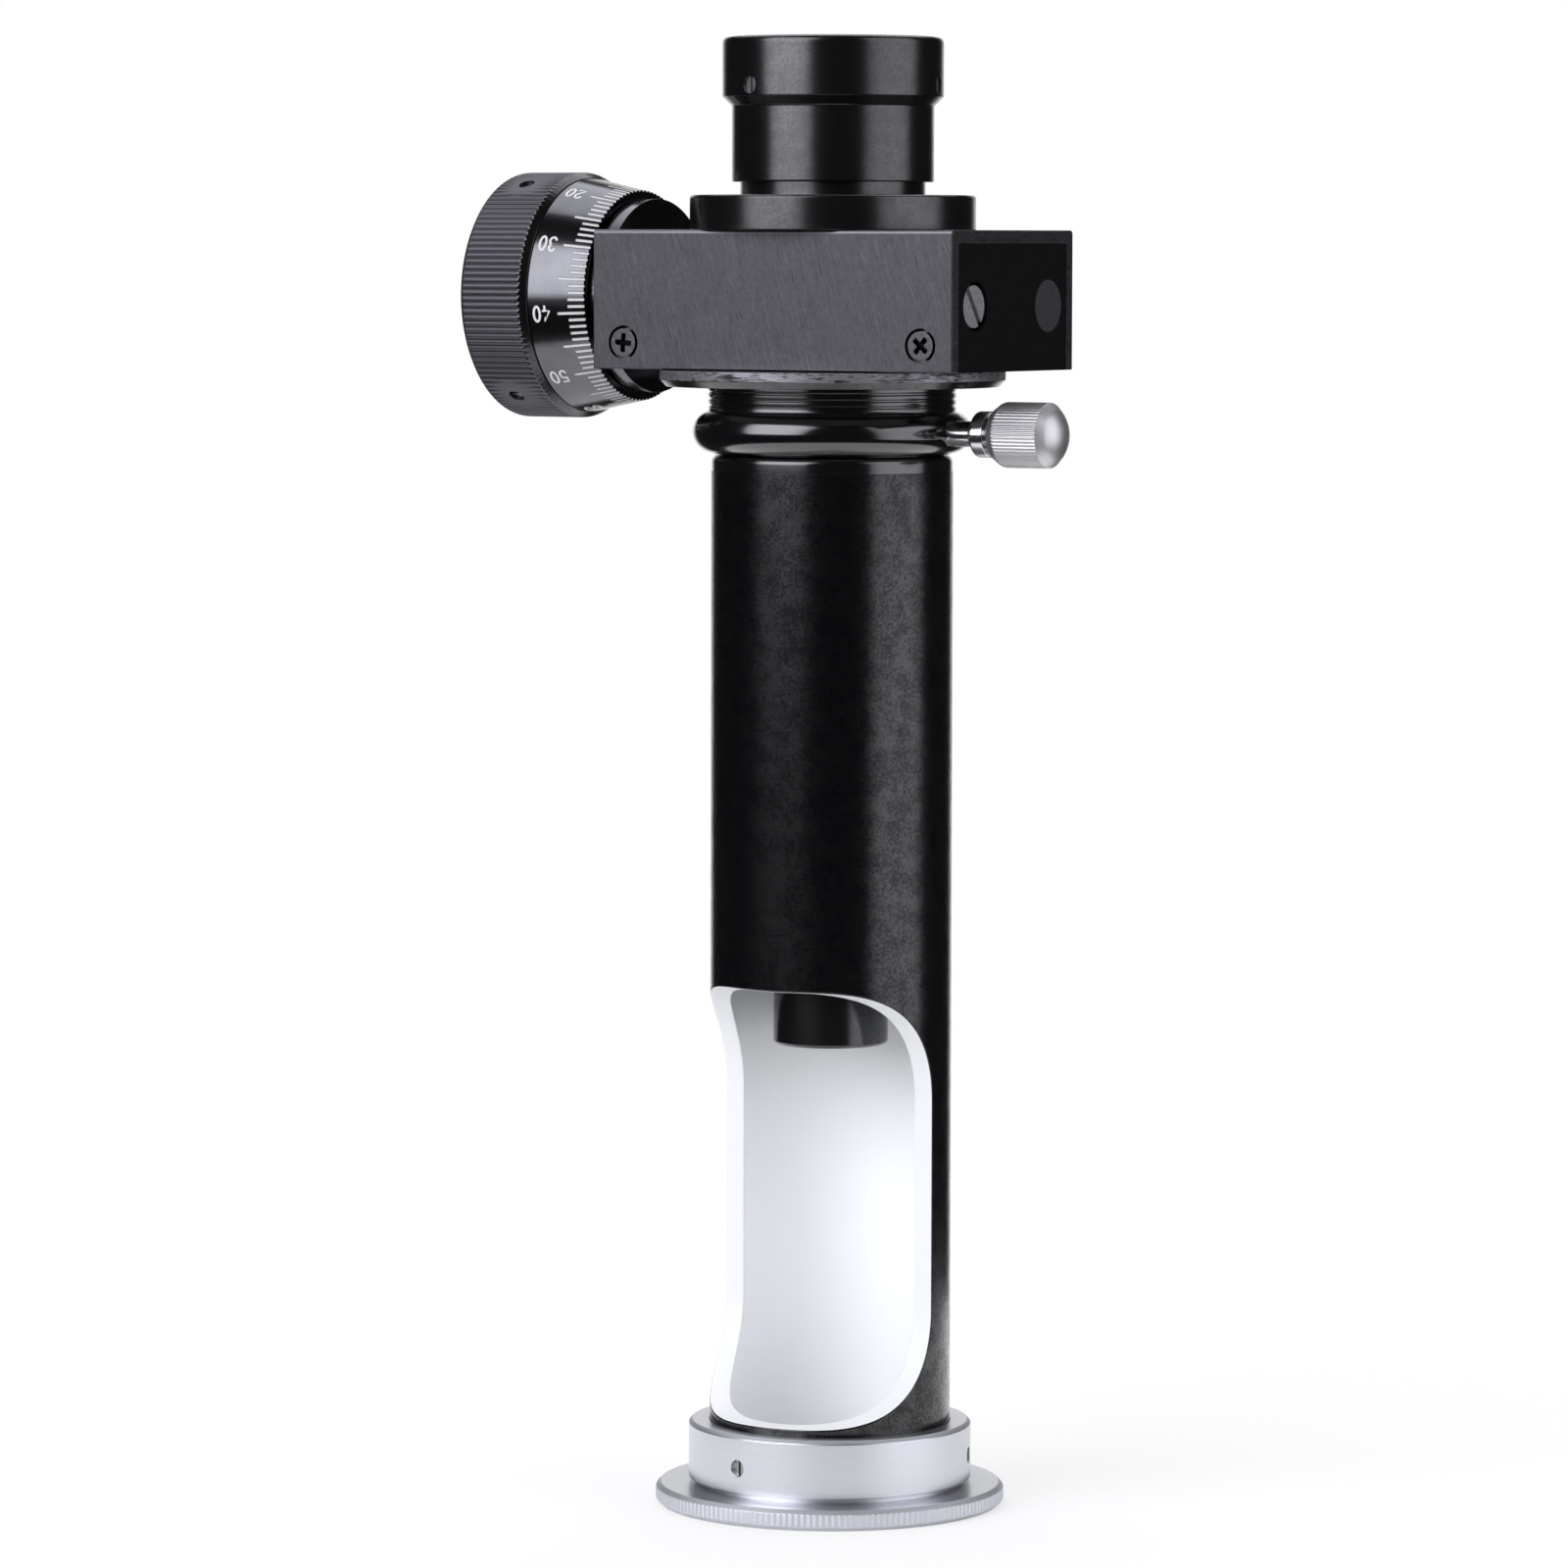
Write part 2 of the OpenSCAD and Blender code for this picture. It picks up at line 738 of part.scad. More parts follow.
module eyepiece_holder() {
  chamfer = 0.25;
  color("black")
    difference() {
      union() {
        upright(spigot_r - seat_fit, z_holder, z_box_top + eps);
        upright(holder_d / 2, z_box_top, z_holder_top - chamfer);
        translate([0, 0, z_holder_top - chamfer])
          cylinder(r1 = holder_d / 2, r2 = holder_d / 2 - chamfer, h = chamfer);
        upright(neck_r - run_fit, z_holder_top - eps, z_neck_end);
      }
      upright(holder_bore_r, z_holder + holder_lip_t, z_neck_end + eps);
      upright(holder_lip_r, z_holder - eps, z_holder + 1);
      holder_screw_places()
        countersunk_hole(cover_screw_r + eps, cover_screw_r, holder_screw_l + holder_screw_room);
    }
}

module scale_glass() {
  color("lightcyan")
    upright(holder_bore_r - seat_fit, z_holder + holder_lip_t, z_holder + holder_lip_t + scale_glass_t);
}

module scale_ring() {
  color("black")
    washer(holder_bore_r - seat_fit, holder_lip_r, z_holder + holder_lip_t + scale_glass_t, scale_ring_t);
}

module carriage_frame() {
  color("dimgray")
    difference() {
      translate([x_frame_a, -carriage_w / 2, z_frame])
        cube([x_frame_b - x_frame_a, carriage_w, carriage_h]);
      for (side = [-1, 1]) {
        translate([side * (slot_half_l - slot_r), 0, z_frame - 1]) cylinder(r = slot_r, h = carriage_h + 2);
        shaft_x(rod_d / 2 + run_fit, x_frame_a - 1, x_frame_b + 1, side * rod_y, rod_z);
      }
      translate([slot_r - slot_half_l, -slot_r, z_frame - 1])
        cube([2 * (slot_half_l - slot_r), 2 * slot_r, carriage_h + 2]);
      translate([-glass_half_l, -glass_half_w, z_frame_top - glass_t])
        cube([2 * glass_half_l, 2 * glass_half_w, 2]);
      shaft_x(nut_seat_r, x_frame_a - 1, x_frame_a + nut_seat_l + face_gap, 0, z_axis);
      shaft_x(lead_d / 2 + 0.3, x_frame_a, -slot_half_l + 1, 0, z_axis);
    }
}

module carriage_nut() {
  color("goldenrod")
    difference() {
      union() {
        shaft_x(nut_r, x_frame_a - nut_l, x_frame_a, 0, z_axis);
        shaft_x(nut_seat_r - seat_fit, x_frame_a - eps, x_frame_a + nut_seat_l, 0, z_axis);
      }
      shaft_x(lead_d / 2 + run_fit, x_frame_a - nut_l - 1, x_frame_a + nut_seat_l + 1, 0, z_axis);
    }
}

module reticle_glass() {
  half_l = glass_half_l - seat_fit;
  half_w = glass_half_w - seat_fit;
  color("lightcyan")
    translate([-half_l, -half_w, z_frame_top - glass_t]) cube([2 * half_l, 2 * half_w, glass_t]);
}

// Centre line of a return spring at turn t, counted in curls, from the carriage to the end wall
spring_x0 = x_frame_b + spring_wire_d / 2 + 0.02;
spring_x1 = x_cavity_b - spring_wire_d / 2 - 0.02;
function spring_point(t) =
  [spring_x0 + (spring_x1 - spring_x0) * t / spring_turns, spring_r * cos(360 * t), spring_r * sin(360 * t)];
spring_gap = norm([(spring_x1 - spring_x0) / spring_turns, 0, 0]) - spring_wire_d;
echo(least_gap_between_spring_curls = spring_gap);

module spring() {
  rings = 8 * spring_turns;
  sides = 6;
  wire_r = spring_wire_d / 2;
  points = [
    for (i = [0 : rings], k = [0 : sides - 1])
      let (
        t = i / 8,
        c = spring_point(t),
        out = [0, cos(360 * t), sin(360 * t)],
        a = 360 * k / sides
      )
        c + wire_r * (cos(a) * out + sin(a) * [1, 0, 0])
  ];
  walls = [
    for (i = [0 : rings - 1], k = [0 : sides - 1])
      let (m = (k + 1) % sides)
        [i * sides + k, i * sides + m, (i + 1) * sides + m, (i + 1) * sides + k]
  ];
  start_cap = [[for (k = [sides - 1 : -1 : 0]) k]];
  end_cap = [[for (k = [0 : sides - 1]) rings * sides + k]];
  polyhedron(points, concat(start_cap, walls, end_cap), convexity = 10);
}

module return_springs() {
  color("silver")
    for (side = [-1, 1])
      translate([0, side * rod_y, rod_z]) spring();
}

module lead_screw() {
  color("silver")
    difference() {
      on_drum_axis() {
        upright(lead_d / 2, x_web_out + 0.05, lead_tip);
        upright(lead_flange_r, x_web, x_bush_end - face_gap / 2);
        upright(journal_r, x_bush_end - face_gap, x_spigot + 0.05);
      }
      on_drum_axis() {
        upright(end_screw_r, x_web_out - 1, x_web_out + 4);
        washer(lead_d, lead_d / 2 - 0.4, x_spigot + 0.05, lead_clip_t);
      }
    }
}

module lead_screw_clip() {
  color("silver")
    on_drum_axis() washer(lead_clip_r, lead_d / 2 - 0.4, x_spigot + 0.05, lead_clip_t);
}

module thimble() {
  slope = atan((cone_big_d - cone_small_d) / 2 / cone_l);
  rim = 0.3;
  color("black")
    difference() {
      on_drum_axis()
        rotate_extrude()
          polygon([
            [lead_d / 2 + seat_fit, x_web_out], [tail_r - seat_fit, x_web_out],
            [tail_r - seat_fit, x_cone_big], [cone_big_d / 2, x_cone_big],
            [cone_small_d / 2, x_cone], [thimble_bore_r + rim, x_cone],
            [thimble_bore_r, x_cone - rim], [thimble_bore_r, x_web], [lead_d / 2 + seat_fit, x_web]
          ]);
      on_drum_axis()
        for (i = [0 : divisions - 1])
          let (length = i % 5 == 0 ? long_line : short_line)
            rotate([0, 0, zero_turn - 90 + i * 360 / divisions])
              translate([cone_small_d / 2, 0, x_cone])
                rotate([0, -slope, 0])
                  translate([-line_depth, -line_w / 2, -length]) cube([1, line_w, length + 1]);
    }
}

module knurled_ring() {
  chamfer = 0.5;
  root_r = knurl_d / 2 - knurl_depth - root_step;
  color("black")
    difference() {
      on_drum_axis() {
        translate([0, 0, x_knurl_end]) cylinder(r1 = root_r - chamfer, r2 = root_r, h = chamfer);
        translate([0, 0, x_knurl_end + chamfer])
          toothed_disc(knurl_d / 2, knurl_depth, knurl_teeth, knurl_w - chamfer);
        translate([0, 0, x_knurl])
          cylinder(r1 = root_r, r2 = cone_big_d / 2, h = knurl_chamfer);
      }
      on_drum_axis() {
        upright(tail_r, x_web_out, x_cone_big + 1);
        upright(end_head_r + run_fit, x_knurl_end - 1, x_web_out + 1);
      }
      spread_on_drum(3, drum_screw_turn)
        translate([-x_drum_screw, 0, 0]) upright(drum_screw_r + seat_fit, tail_r - 1, knurl_d);
    }
}

module drum_set_screws() {
  sunk = 0.5;
  color("dimgray")
    spread_on_drum(3, drum_screw_turn)
      translate([-x_drum_screw, 0, 0]) grub(drum_screw_r, tail_r, knurl_d / 2 - sunk);
}

module drum_end_screw() {
  head_t = knurl_wall - 0.3;
  color("silver")
    on_drum_axis()
      mirror([0, 0, 1]) {
        upright(end_screw_r - seat_fit, -x_web_out - 3, -x_web_out + eps);
        grub(end_head_r, -x_web_out, -x_web_out + head_t);
      }
}

module lens_cell() {
  color("dimgray")
    difference() {
      upright(cell_r, z_cell, z_cell_top);
      upright(6.8, z_cell - eps, z_cell_top + eps);
      upright(field_lens_d / 2 + seat_fit, z_cell - eps, z_cell + lens_ring_t + field_lens_t);
      upright(eye_lens_d / 2 + seat_fit, z_cell_top - lens_ring_t - eye_lens_t, z_cell_top + eps);
    }
}

module eye_lens() {
  color("lightcyan")
    lens(eye_lens_d / 2, z_cell_top - lens_ring_t - eye_lens_t, eye_lens_t - eye_lens_sag, eye_lens_sag);
}

module eye_lens_ring() {
  lens_r = eye_lens_d / 2;
  inner_r = lens_r - 0.5;
  rim = z_cell_top - lens_ring_t - eye_lens_sag + dome_height(lens_r, eye_lens_sag, inner_r);
  color("black")
    difference() {
      upright(lens_r, rim, z_cell_top);
      translate([0, 0, rim]) cylinder(r1 = inner_r, r2 = lens_r - 0.2, h = z_cell_top - rim + eps);
    }
}

module field_lens() {
  color("lightcyan")
    lens(field_lens_d / 2, z_cell + lens_ring_t, field_lens_t - field_lens_sag, field_lens_sag);
}

module field_lens_ring() {
  color("black")
    washer(field_lens_d / 2, field_lens_d / 2 - 0.9, z_cell, lens_ring_t);
}

module eyepiece_barrel() {
  chamfer = 0.25;
  color("black")
    difference() {
      union() {
        translate([0, 0, z_barrel])
          cylinder(r1 = barrel_d / 2 - chamfer, r2 = barrel_d / 2, h = chamfer);
        upright(barrel_d / 2, z_barrel + chamfer, z_taper);
        translate([0, 0, z_taper]) cylinder(r1 = barrel_d / 2, r2 = cap_d / 2, h = z_cap - z_taper);
        upright(barrel_spigot_r, z_cap - eps, z_cell_top);
      }
      upright(neck_r, z_barrel - eps, z_cell_seat);
      upright(cell_r + run_fit, z_cell_seat - eps, z_cell_top + eps);
    }
}

module eyepiece_cap() {
  fillet = 0.8;
  color("black")
    difference() {
      upright(cap_d / 2, z_cap, z_top);
      upright(barrel_spigot_r + seat_fit, z_cap - eps, z_cell_top + 0.1);
      translate([0, 0, z_cell_top])
        cylinder(r1 = eye_lens_d / 2 + cup_gap, r2 = cap_d / 2 - cup_rim, h = z_top - z_cell_top + eps);
      round_top(cap_d / 2, z_top, fillet);
      spread(3, cap_screw_turn, cap_screw_z) upright(cap_screw_r, barrel_spigot_r - 1, cap_d);
    }
}

module cap_set_screws() {
  sunk = 0.35;
  color("dimgray")
    spread(3, cap_screw_turn, cap_screw_z)
      grub(cap_screw_r - seat_fit, barrel_spigot_r + seat_fit, cap_d / 2 - sunk);
}

foot();
foot_set_screws();
tube();
collar();
lock_pad();
lock_screw();
draw_tube();
swivel_disc();
objective_barrel();
objective_lens();
objective_ring();
housing_block();
cover();
cover_screws();
pivot_sleeve();
pivot_clip();
guide_rods();
rod_screw();
rod_plug();
bearing_sleeve();
eyepiece_holder();
holder_screws();
scale_glass();
scale_ring();
carriage_frame();
carriage_nut();
reticle_glass();
return_springs();
lead_screw();
lead_screw_clip();
thimble();
knurled_ring();
drum_end_screw();
drum_set_screws();
lens_cell();
eye_lens();
eye_lens_ring();
field_lens();
field_lens_ring();
eyepiece_barrel();
eyepiece_cap();
cap_set_screws();
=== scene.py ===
import json
import math

import bpy
import numpy as np
from bpy.props import FloatProperty, FloatVectorProperty, IntProperty, PointerProperty
from mathutils import Matrix, Vector


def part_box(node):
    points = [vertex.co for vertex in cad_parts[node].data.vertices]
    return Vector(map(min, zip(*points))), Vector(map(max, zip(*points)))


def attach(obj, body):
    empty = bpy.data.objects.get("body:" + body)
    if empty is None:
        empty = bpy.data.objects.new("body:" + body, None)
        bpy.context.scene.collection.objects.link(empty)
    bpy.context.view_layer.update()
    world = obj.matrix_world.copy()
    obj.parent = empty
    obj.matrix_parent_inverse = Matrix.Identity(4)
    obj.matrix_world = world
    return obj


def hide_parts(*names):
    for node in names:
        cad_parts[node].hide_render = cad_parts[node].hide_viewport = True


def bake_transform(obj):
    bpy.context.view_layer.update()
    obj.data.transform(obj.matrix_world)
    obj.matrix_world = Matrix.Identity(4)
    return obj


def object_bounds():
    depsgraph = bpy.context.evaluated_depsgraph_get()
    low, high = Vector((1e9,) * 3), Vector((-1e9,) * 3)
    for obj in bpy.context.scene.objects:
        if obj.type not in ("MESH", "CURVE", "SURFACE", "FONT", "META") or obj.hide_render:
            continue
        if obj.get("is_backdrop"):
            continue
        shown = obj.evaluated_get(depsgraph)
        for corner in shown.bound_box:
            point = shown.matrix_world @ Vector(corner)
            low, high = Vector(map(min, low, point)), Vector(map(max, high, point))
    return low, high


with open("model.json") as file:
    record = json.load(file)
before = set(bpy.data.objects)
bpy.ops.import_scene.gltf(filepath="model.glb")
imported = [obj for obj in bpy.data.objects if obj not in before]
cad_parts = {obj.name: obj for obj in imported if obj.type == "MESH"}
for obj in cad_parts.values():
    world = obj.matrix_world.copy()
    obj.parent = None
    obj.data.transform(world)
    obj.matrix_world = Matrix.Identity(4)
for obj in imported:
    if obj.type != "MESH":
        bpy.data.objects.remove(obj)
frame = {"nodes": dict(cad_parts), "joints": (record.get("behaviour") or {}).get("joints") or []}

bl_info = {
    "name": "Measuring Microscope",
    "version": (1, 0, 0),
    "blender": (4, 5, 0),
    "location": "View3D > Sidebar > Microscope",
    "description": "Gives the packed measuring microscope its turned, engraved and enamelled pieces",
    "category": "Object",
}

MM = 0.001
TAU = 2 * math.pi
WELD = 1e-4        # mm, corners nearer than this become one vertex
HOLE_EDGE = 0.06   # mm, rounding of a drilled hole's lip
WHITE = (1.0, 1.0, 1.0)
CAD_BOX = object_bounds()

# A shell's own axis and turns, as columns of a rotation: turns start at -Y
UPRIGHT = np.array([[0, 1, 0], [-1, 0, 0], [0, 0, 1]], float)
ALONG_X = np.array([[0, 0, 1], [-1, 0, 0], [0, -1, 0]], float)


def low(node):
    """Lowest corner of a CAD node, in mm."""
    return np.array(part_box(node)[0]) / MM


def high(node):
    """Highest corner of a CAD node, in mm."""
    return np.array(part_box(node)[1]) / MM


def middle(node):
    """Middle of a CAD node's box, in mm."""
    return (low(node) + high(node)) / 2


def joint_height(name):
    """Height of a joint's axis, in mm."""
    return next(j for j in frame["joints"] if j["name"] == name)["pos_m"][2] / MM


Z_DRUM = joint_height("drum_turn")
Z_CLAMP = joint_height("clamp_turn")


def length(label, text, value, lowest=0.0):
    """A size in mm that the user may change."""
    return FloatProperty(name=label, description=text, default=value, min=lowest, precision=3)


def colour(label, text, value):
    """A linear colour that the user may change."""
    return FloatVectorProperty(name=label, description=text, default=value, size=3, min=0, max=1,
                               subtype="COLOR")


class MicroscopeSizes(bpy.types.PropertyGroup):
    edge: length("Broken edge", "Width of the broken edges of turned pieces, in mm", 0.12, 0.01)
    facets: IntProperty(name="Facets", description="Facets around a turned piece", default=240, min=48)
    tooth_facets: IntProperty(name="Facets a tooth", description="Facets across a knurl tooth",
                              default=6, min=4)
    window_edge: length("Window edge", "Rounding of the painted window edge, in mm", 0.22, 0.02)
    line_width: length("Line width", "Width of a graduation line, in mm", 0.28, 0.1)
    line_depth: length("Line depth", "Depth of a graduation line, in mm", 0.1, 0.02)
    short_line: length("Short line", "Length of a single division's line, in mm", 2.0, 0.5)
    long_line: length("Long line", "Length of every fifth line, in mm", 3.3, 0.5)
    zero_turn: FloatProperty(name="Zero", description="Turn of the zero line from the front, downwards",
                             default=math.radians(225), subtype="ANGLE")
    digit_height: length("Digit height", "Height of a digit around the drum, in mm", 2.0, 0.5)
    digit_width: length("Digit width", "Width of a digit along the drum, in mm", 1.0, 0.3)
    digit_stroke: length("Digit stroke", "Width of a digit's stroke, in mm", 0.27, 0.05)


class MicroscopeColours(bpy.types.PropertyGroup):
    enamel: colour("Enamel", "Black gloss enamel of tube and collar", (0.0012, 0.0012, 0.0018))
    lining: colour("Lining", "White lacquer inside the tube", (0.87, 0.88, 0.895))
    anodised: colour("Anodised", "Black anodised eyepiece and disc", (0.0018, 0.0018, 0.0024))
    drum: colour("Drum", "Polished black of the graduated cone", (0.15, 0.15, 0.16))
    knurl: colour("Knurl", "Satin dark grey of the knurled ring", (0.045, 0.045, 0.05))
    cover: colour("Cover", "Brushed dark cover of the box", (0.113, 0.111, 0.122))
    aluminium: colour("Aluminium", "Turned aluminium of the foot", (0.78, 0.79, 0.83))
    nickel: colour("Nickel", "Plating of the thumb screw", (0.78, 0.78, 0.79))
    dark_steel: colour("Dark steel", "Small screws", (0.14, 0.14, 0.145))
    plug: colour("Plug", "Blued plug of the second rod hole", (0.12, 0.12, 0.125))
    steel: colour("Steel", "Rods, lead screw and springs", (0.5, 0.5, 0.51))
    brass: colour("Brass", "Nut and clamping pad", (0.72, 0.50, 0.20))
    marks: colour("Marks", "Paint of lines and digits", (0.70, 0.70, 0.71))
    glass: colour("Glass", "Lenses and scales", (0.93, 0.97, 0.98))


class StageSettings(bpy.types.PropertyGroup):
    azimuth: FloatProperty(name="Camera azimuth", description="Turn of the camera from the front",
                           default=math.radians(31.43), subtype="ANGLE")
    distance: FloatProperty(name="Camera distance", description="From the optical axis", default=0.8, unit="LENGTH")
    height: FloatProperty(name="Camera height", description="Above the floor", default=0.1472, unit="LENGTH")
    lens: FloatProperty(name="Lens", description="Focal length", default=158.87, min=20,
                        subtype="DISTANCE_CAMERA")
    softbox: FloatProperty(name="Softboxes", description="Radiance of the left softbox", default=3.6, min=0)
    top_light: FloatProperty(name="Top light", description="Radiance of the light above", default=1.8, min=0)
    room: FloatProperty(name="Room", description="Brightness of the surroundings", default=0.62, min=0)
    dim: FloatProperty(name="Dim room", description="Brightness of the surroundings in reflections",
                       default=0.015, min=0)


# Meshes

def grid_normals(points):
    """Unit normals of a grid of points: the cross product of its slopes along rows and columns, each slope a central
    difference. Where the columns close on themselves so do the slopes, and a row that is one point takes the mean of
    its neighbour."""
    along = np.gradient(points, axis=0)
    if np.allclose(points[:, 0], points[:, -1]):
        ring = points[:, :-1]
        across = np.roll(ring, -1, axis=1) - np.roll(ring, 1, axis=1)
        across = np.concatenate([across, across[:, :1]], axis=1)
    else:
        across = np.gradient(points, axis=1)
    normals = np.cross(along, across)
    size = np.linalg.norm(normals, axis=-1, keepdims=True)
    normals = normals / np.maximum(size, 1e-12)
    for row, neighbour in ((0, 1), (-1, -2)):
        if size[row].max() < 1e-9:
            mean = normals[neighbour].mean(0)
            normals[row] = mean / max(np.linalg.norm(mean), 1e-12)
    return normals


class Shell:
    """A closed surface made of smooth patches. A patch is a grid of points in mm with a normal at each, and it has
    its border points in common with its neighbours, so that the welded mesh has no open edge."""

    def __init__(self, turn=UPRIGHT, origin=(0, 0, 0)):
        self.turn = turn
        self.origin = np.array(origin, float)
        self.patches = []

    def add(self, points, normals=None, slot=0, skip=None, flip=False):
        """Adds one patch. Its faces look along rows x columns, or the other way with flip. slot is the number of the
        material, one in all or one for each face, and skip marks faces that are left out."""
        rows, columns = points.shape[0] - 1, points.shape[1] - 1
        slot = np.broadcast_to(slot, (rows, columns))
        keep = np.ones((rows, columns), bool) if skip is None else ~skip
        if flip:
            points, slot, keep = points[:, ::-1], slot[:, ::-1], keep[:, ::-1]
            normals = None if normals is None else normals[:, ::-1]
        if normals is None:
            normals = grid_normals(points)
        self.patches.append((points @ self.turn.T + self.origin, normals @ self.turn.T, slot, keep))

    def mesh(self, name):
        """Welds the patches: corners that fall on one point become one vertex, and a four-sided face with two corners
        on one vertex becomes a triangle."""
        quads, start = [], 0
        for points, _, _, keep in self.patches:
            index = start + np.arange(points.shape[0] * points.shape[1]).reshape(points.shape[:2])
            start = index[-1, -1] + 1
            corners = (index[:-1, :-1], index[1:, :-1], index[1:, 1:], index[:-1, 1:])
            quads.append(np.stack(corners, -1)[keep])
        quads = np.concatenate(quads)
        points = np.concatenate([p[0].reshape(-1, 3) for p in self.patches])
        normals = np.concatenate([p[1].reshape(-1, 3) for p in self.patches])
        slots = np.concatenate([p[2][p[3]] for p in self.patches])
        cells = np.round(points / WELD).astype(np.int64)
        _, first, merged = np.unique(cells, axis=0, return_index=True, return_inverse=True)
        faces = merged.ravel()[quads]
        kept = faces != np.roll(faces, -1, axis=1)
        whole = kept.sum(1) > 2
        kept &= whole[:, None]
        counts = kept.sum(1)[whole]
        used, corner_vertex = np.unique(faces[kept], return_inverse=True)
        mesh = bpy.data.meshes.new(name)
        mesh.vertices.add(len(used))
        mesh.vertices.foreach_set("co", (points[first[used]] * MM).astype(np.float32).ravel())
        mesh.loops.add(int(counts.sum()))
        mesh.loops.foreach_set("vertex_index", corner_vertex.ravel().astype(np.int32))
        mesh.polygons.add(len(counts))
        starts = np.concatenate([[0], np.cumsum(counts)[:-1]]).astype(np.int32)
        mesh.polygons.foreach_set("loop_start", starts)
        mesh.polygons.foreach_set("material_index", slots[whole].astype(np.int32))
        mesh.polygons.foreach_set("use_smooth", np.ones(len(counts), bool))
        mesh.update(calc_edges=True)
        mesh.normals_split_custom_set(normals[quads][kept])
        return mesh

    def piece(self, name, body, slot, materials, replaces=()):
        """Makes the object: its materials, the body that it rides on and the nodes that it stands for."""
        obj = bpy.data.objects.new(name, self.mesh(name))
        bpy.context.scene.collection.objects.link(obj)
        for material in materials:
            obj.data.materials.append(material)
        if body:
            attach(obj, body)
        if replaces:
            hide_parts(*replaces)
        return obj


def drum_shell():
    """A shell round the drum's axis."""
    return Shell(ALONG_X, (0, 0, Z_DRUM))


def bend(corner, before, after, width, steps):
    """A quadratic curve round a corner: (1-t)^2 a + 2t(1-t) corner + t^2 b, where a and b lie on the corner's two
    sides at the given width, or half way along a shorter side."""
    reach = [min(width, np.linalg.norm(p - corner) / 2) for p in (before, after)]
    a, b = (corner + (p - corner) / np.linalg.norm(p - corner) * w for p, w in zip((before, after), reach))
    t = np.linspace(0, 1, steps + 1)[:, None]
    return (1 - t) ** 2 * a + 2 * t * (1 - t) * corner + t ** 2 * b


def outline(corners, steps):
    """The smooth runs of a turned piece's closed profile, clockwise. A corner is (radius, height, width): a width
    above 0 rounds it, 0 keeps it sharp and ends the run, and None is a point that the run passes through."""
    flat = np.array([c[:2] for c in corners], float)
    area = np.sum(flat[:, 0] * np.roll(flat[:, 1], -1) - np.roll(flat[:, 0], -1) * flat[:, 1])
    if area > 0:
        corners, flat = corners[::-1], flat[::-1]
    parts, breaks, count = [], [], 0
    for k, (radius, _, width) in enumerate(corners):
        if radius == 0 or not width:
            part = flat[k:k + 1]
            if radius == 0 or width == 0:
                breaks.append(count)
        else:
            part = bend(flat[k], flat[k - 1], flat[(k + 1) % len(flat)], width, steps)
        parts.append(part)
        count += len(part)
    ring = np.concatenate(parts)
    if not breaks:
        gaps = np.linalg.norm(np.roll(ring, -1, axis=0) - ring, axis=1)
        k = int(gaps.argmax())
        halfway = (ring[k] + ring[(k + 1) % len(ring)]) / 2
        ring = np.concatenate([[halfway], np.roll(ring, -k - 1, axis=0)])
        breaks = [0]
    runs = []
    for a, b in zip(breaks, breaks[1:] + [breaks[0] + len(ring)]):
        run = ring[np.arange(a, b + 1) % len(ring)]
        if run[:, 0].max() > 0:
            runs.append(run)
    return runs


def drill(shell, rim, radius, surface, base, axes, floor, edge, slots=(0, 0), rows=5):
    """A blind round hole in a cell whose border is rim, a closed loop of (x, y) across the hole's axis. Rows run
    straight from the rim to the hole's lip, round the lip by a quarter circle, down the wall to the floor's height
    and to the middle of the floor. surface(x, y) gives the height over base along the axis, and the normal."""
    turn = np.arctan2(rim[:, 1], rim[:, 0])
    ray = np.stack([np.cos(turn), np.sin(turn)], -1)

    def put(flat, height, normals, slot):
        points = np.concatenate([flat, height[..., None]], -1) @ axes + base
        shell.add(points, normals @ axes, slot, flip=True)

    share = np.linspace(0, 1, rows)[:, None, None]
    flat = rim * (1 - share) + (radius + edge) * ray * share
    put(flat, *surface(flat[..., 0], flat[..., 1]), slots[0])
    b = np.linspace(0, math.pi / 2, 5)[:, None, None]
    flat = (radius + edge * (1 - np.sin(b))) * ray
    height, normals = surface(flat[..., 0], flat[..., 1])
    inward = -np.concatenate([ray, np.zeros((len(ray), 1))], -1)
    height = height - edge * (1 - np.cos(b[..., 0]))
    put(flat, height, normals * np.cos(b) + inward * np.sin(b), slots[0])
    flat = np.stack([flat[-1], flat[-1]])
    height = np.stack([height[-1], np.full(len(ray), floor)])
    put(flat, height, np.stack([inward, inward]), slots[1])
    flat = np.stack([flat[-1], flat[-1] * 0])
    up = np.broadcast_to([0.0, 0.0, 1.0], (2, len(ray), 3))
    put(flat, np.full((2, len(ray)), floor), up, slots[1])


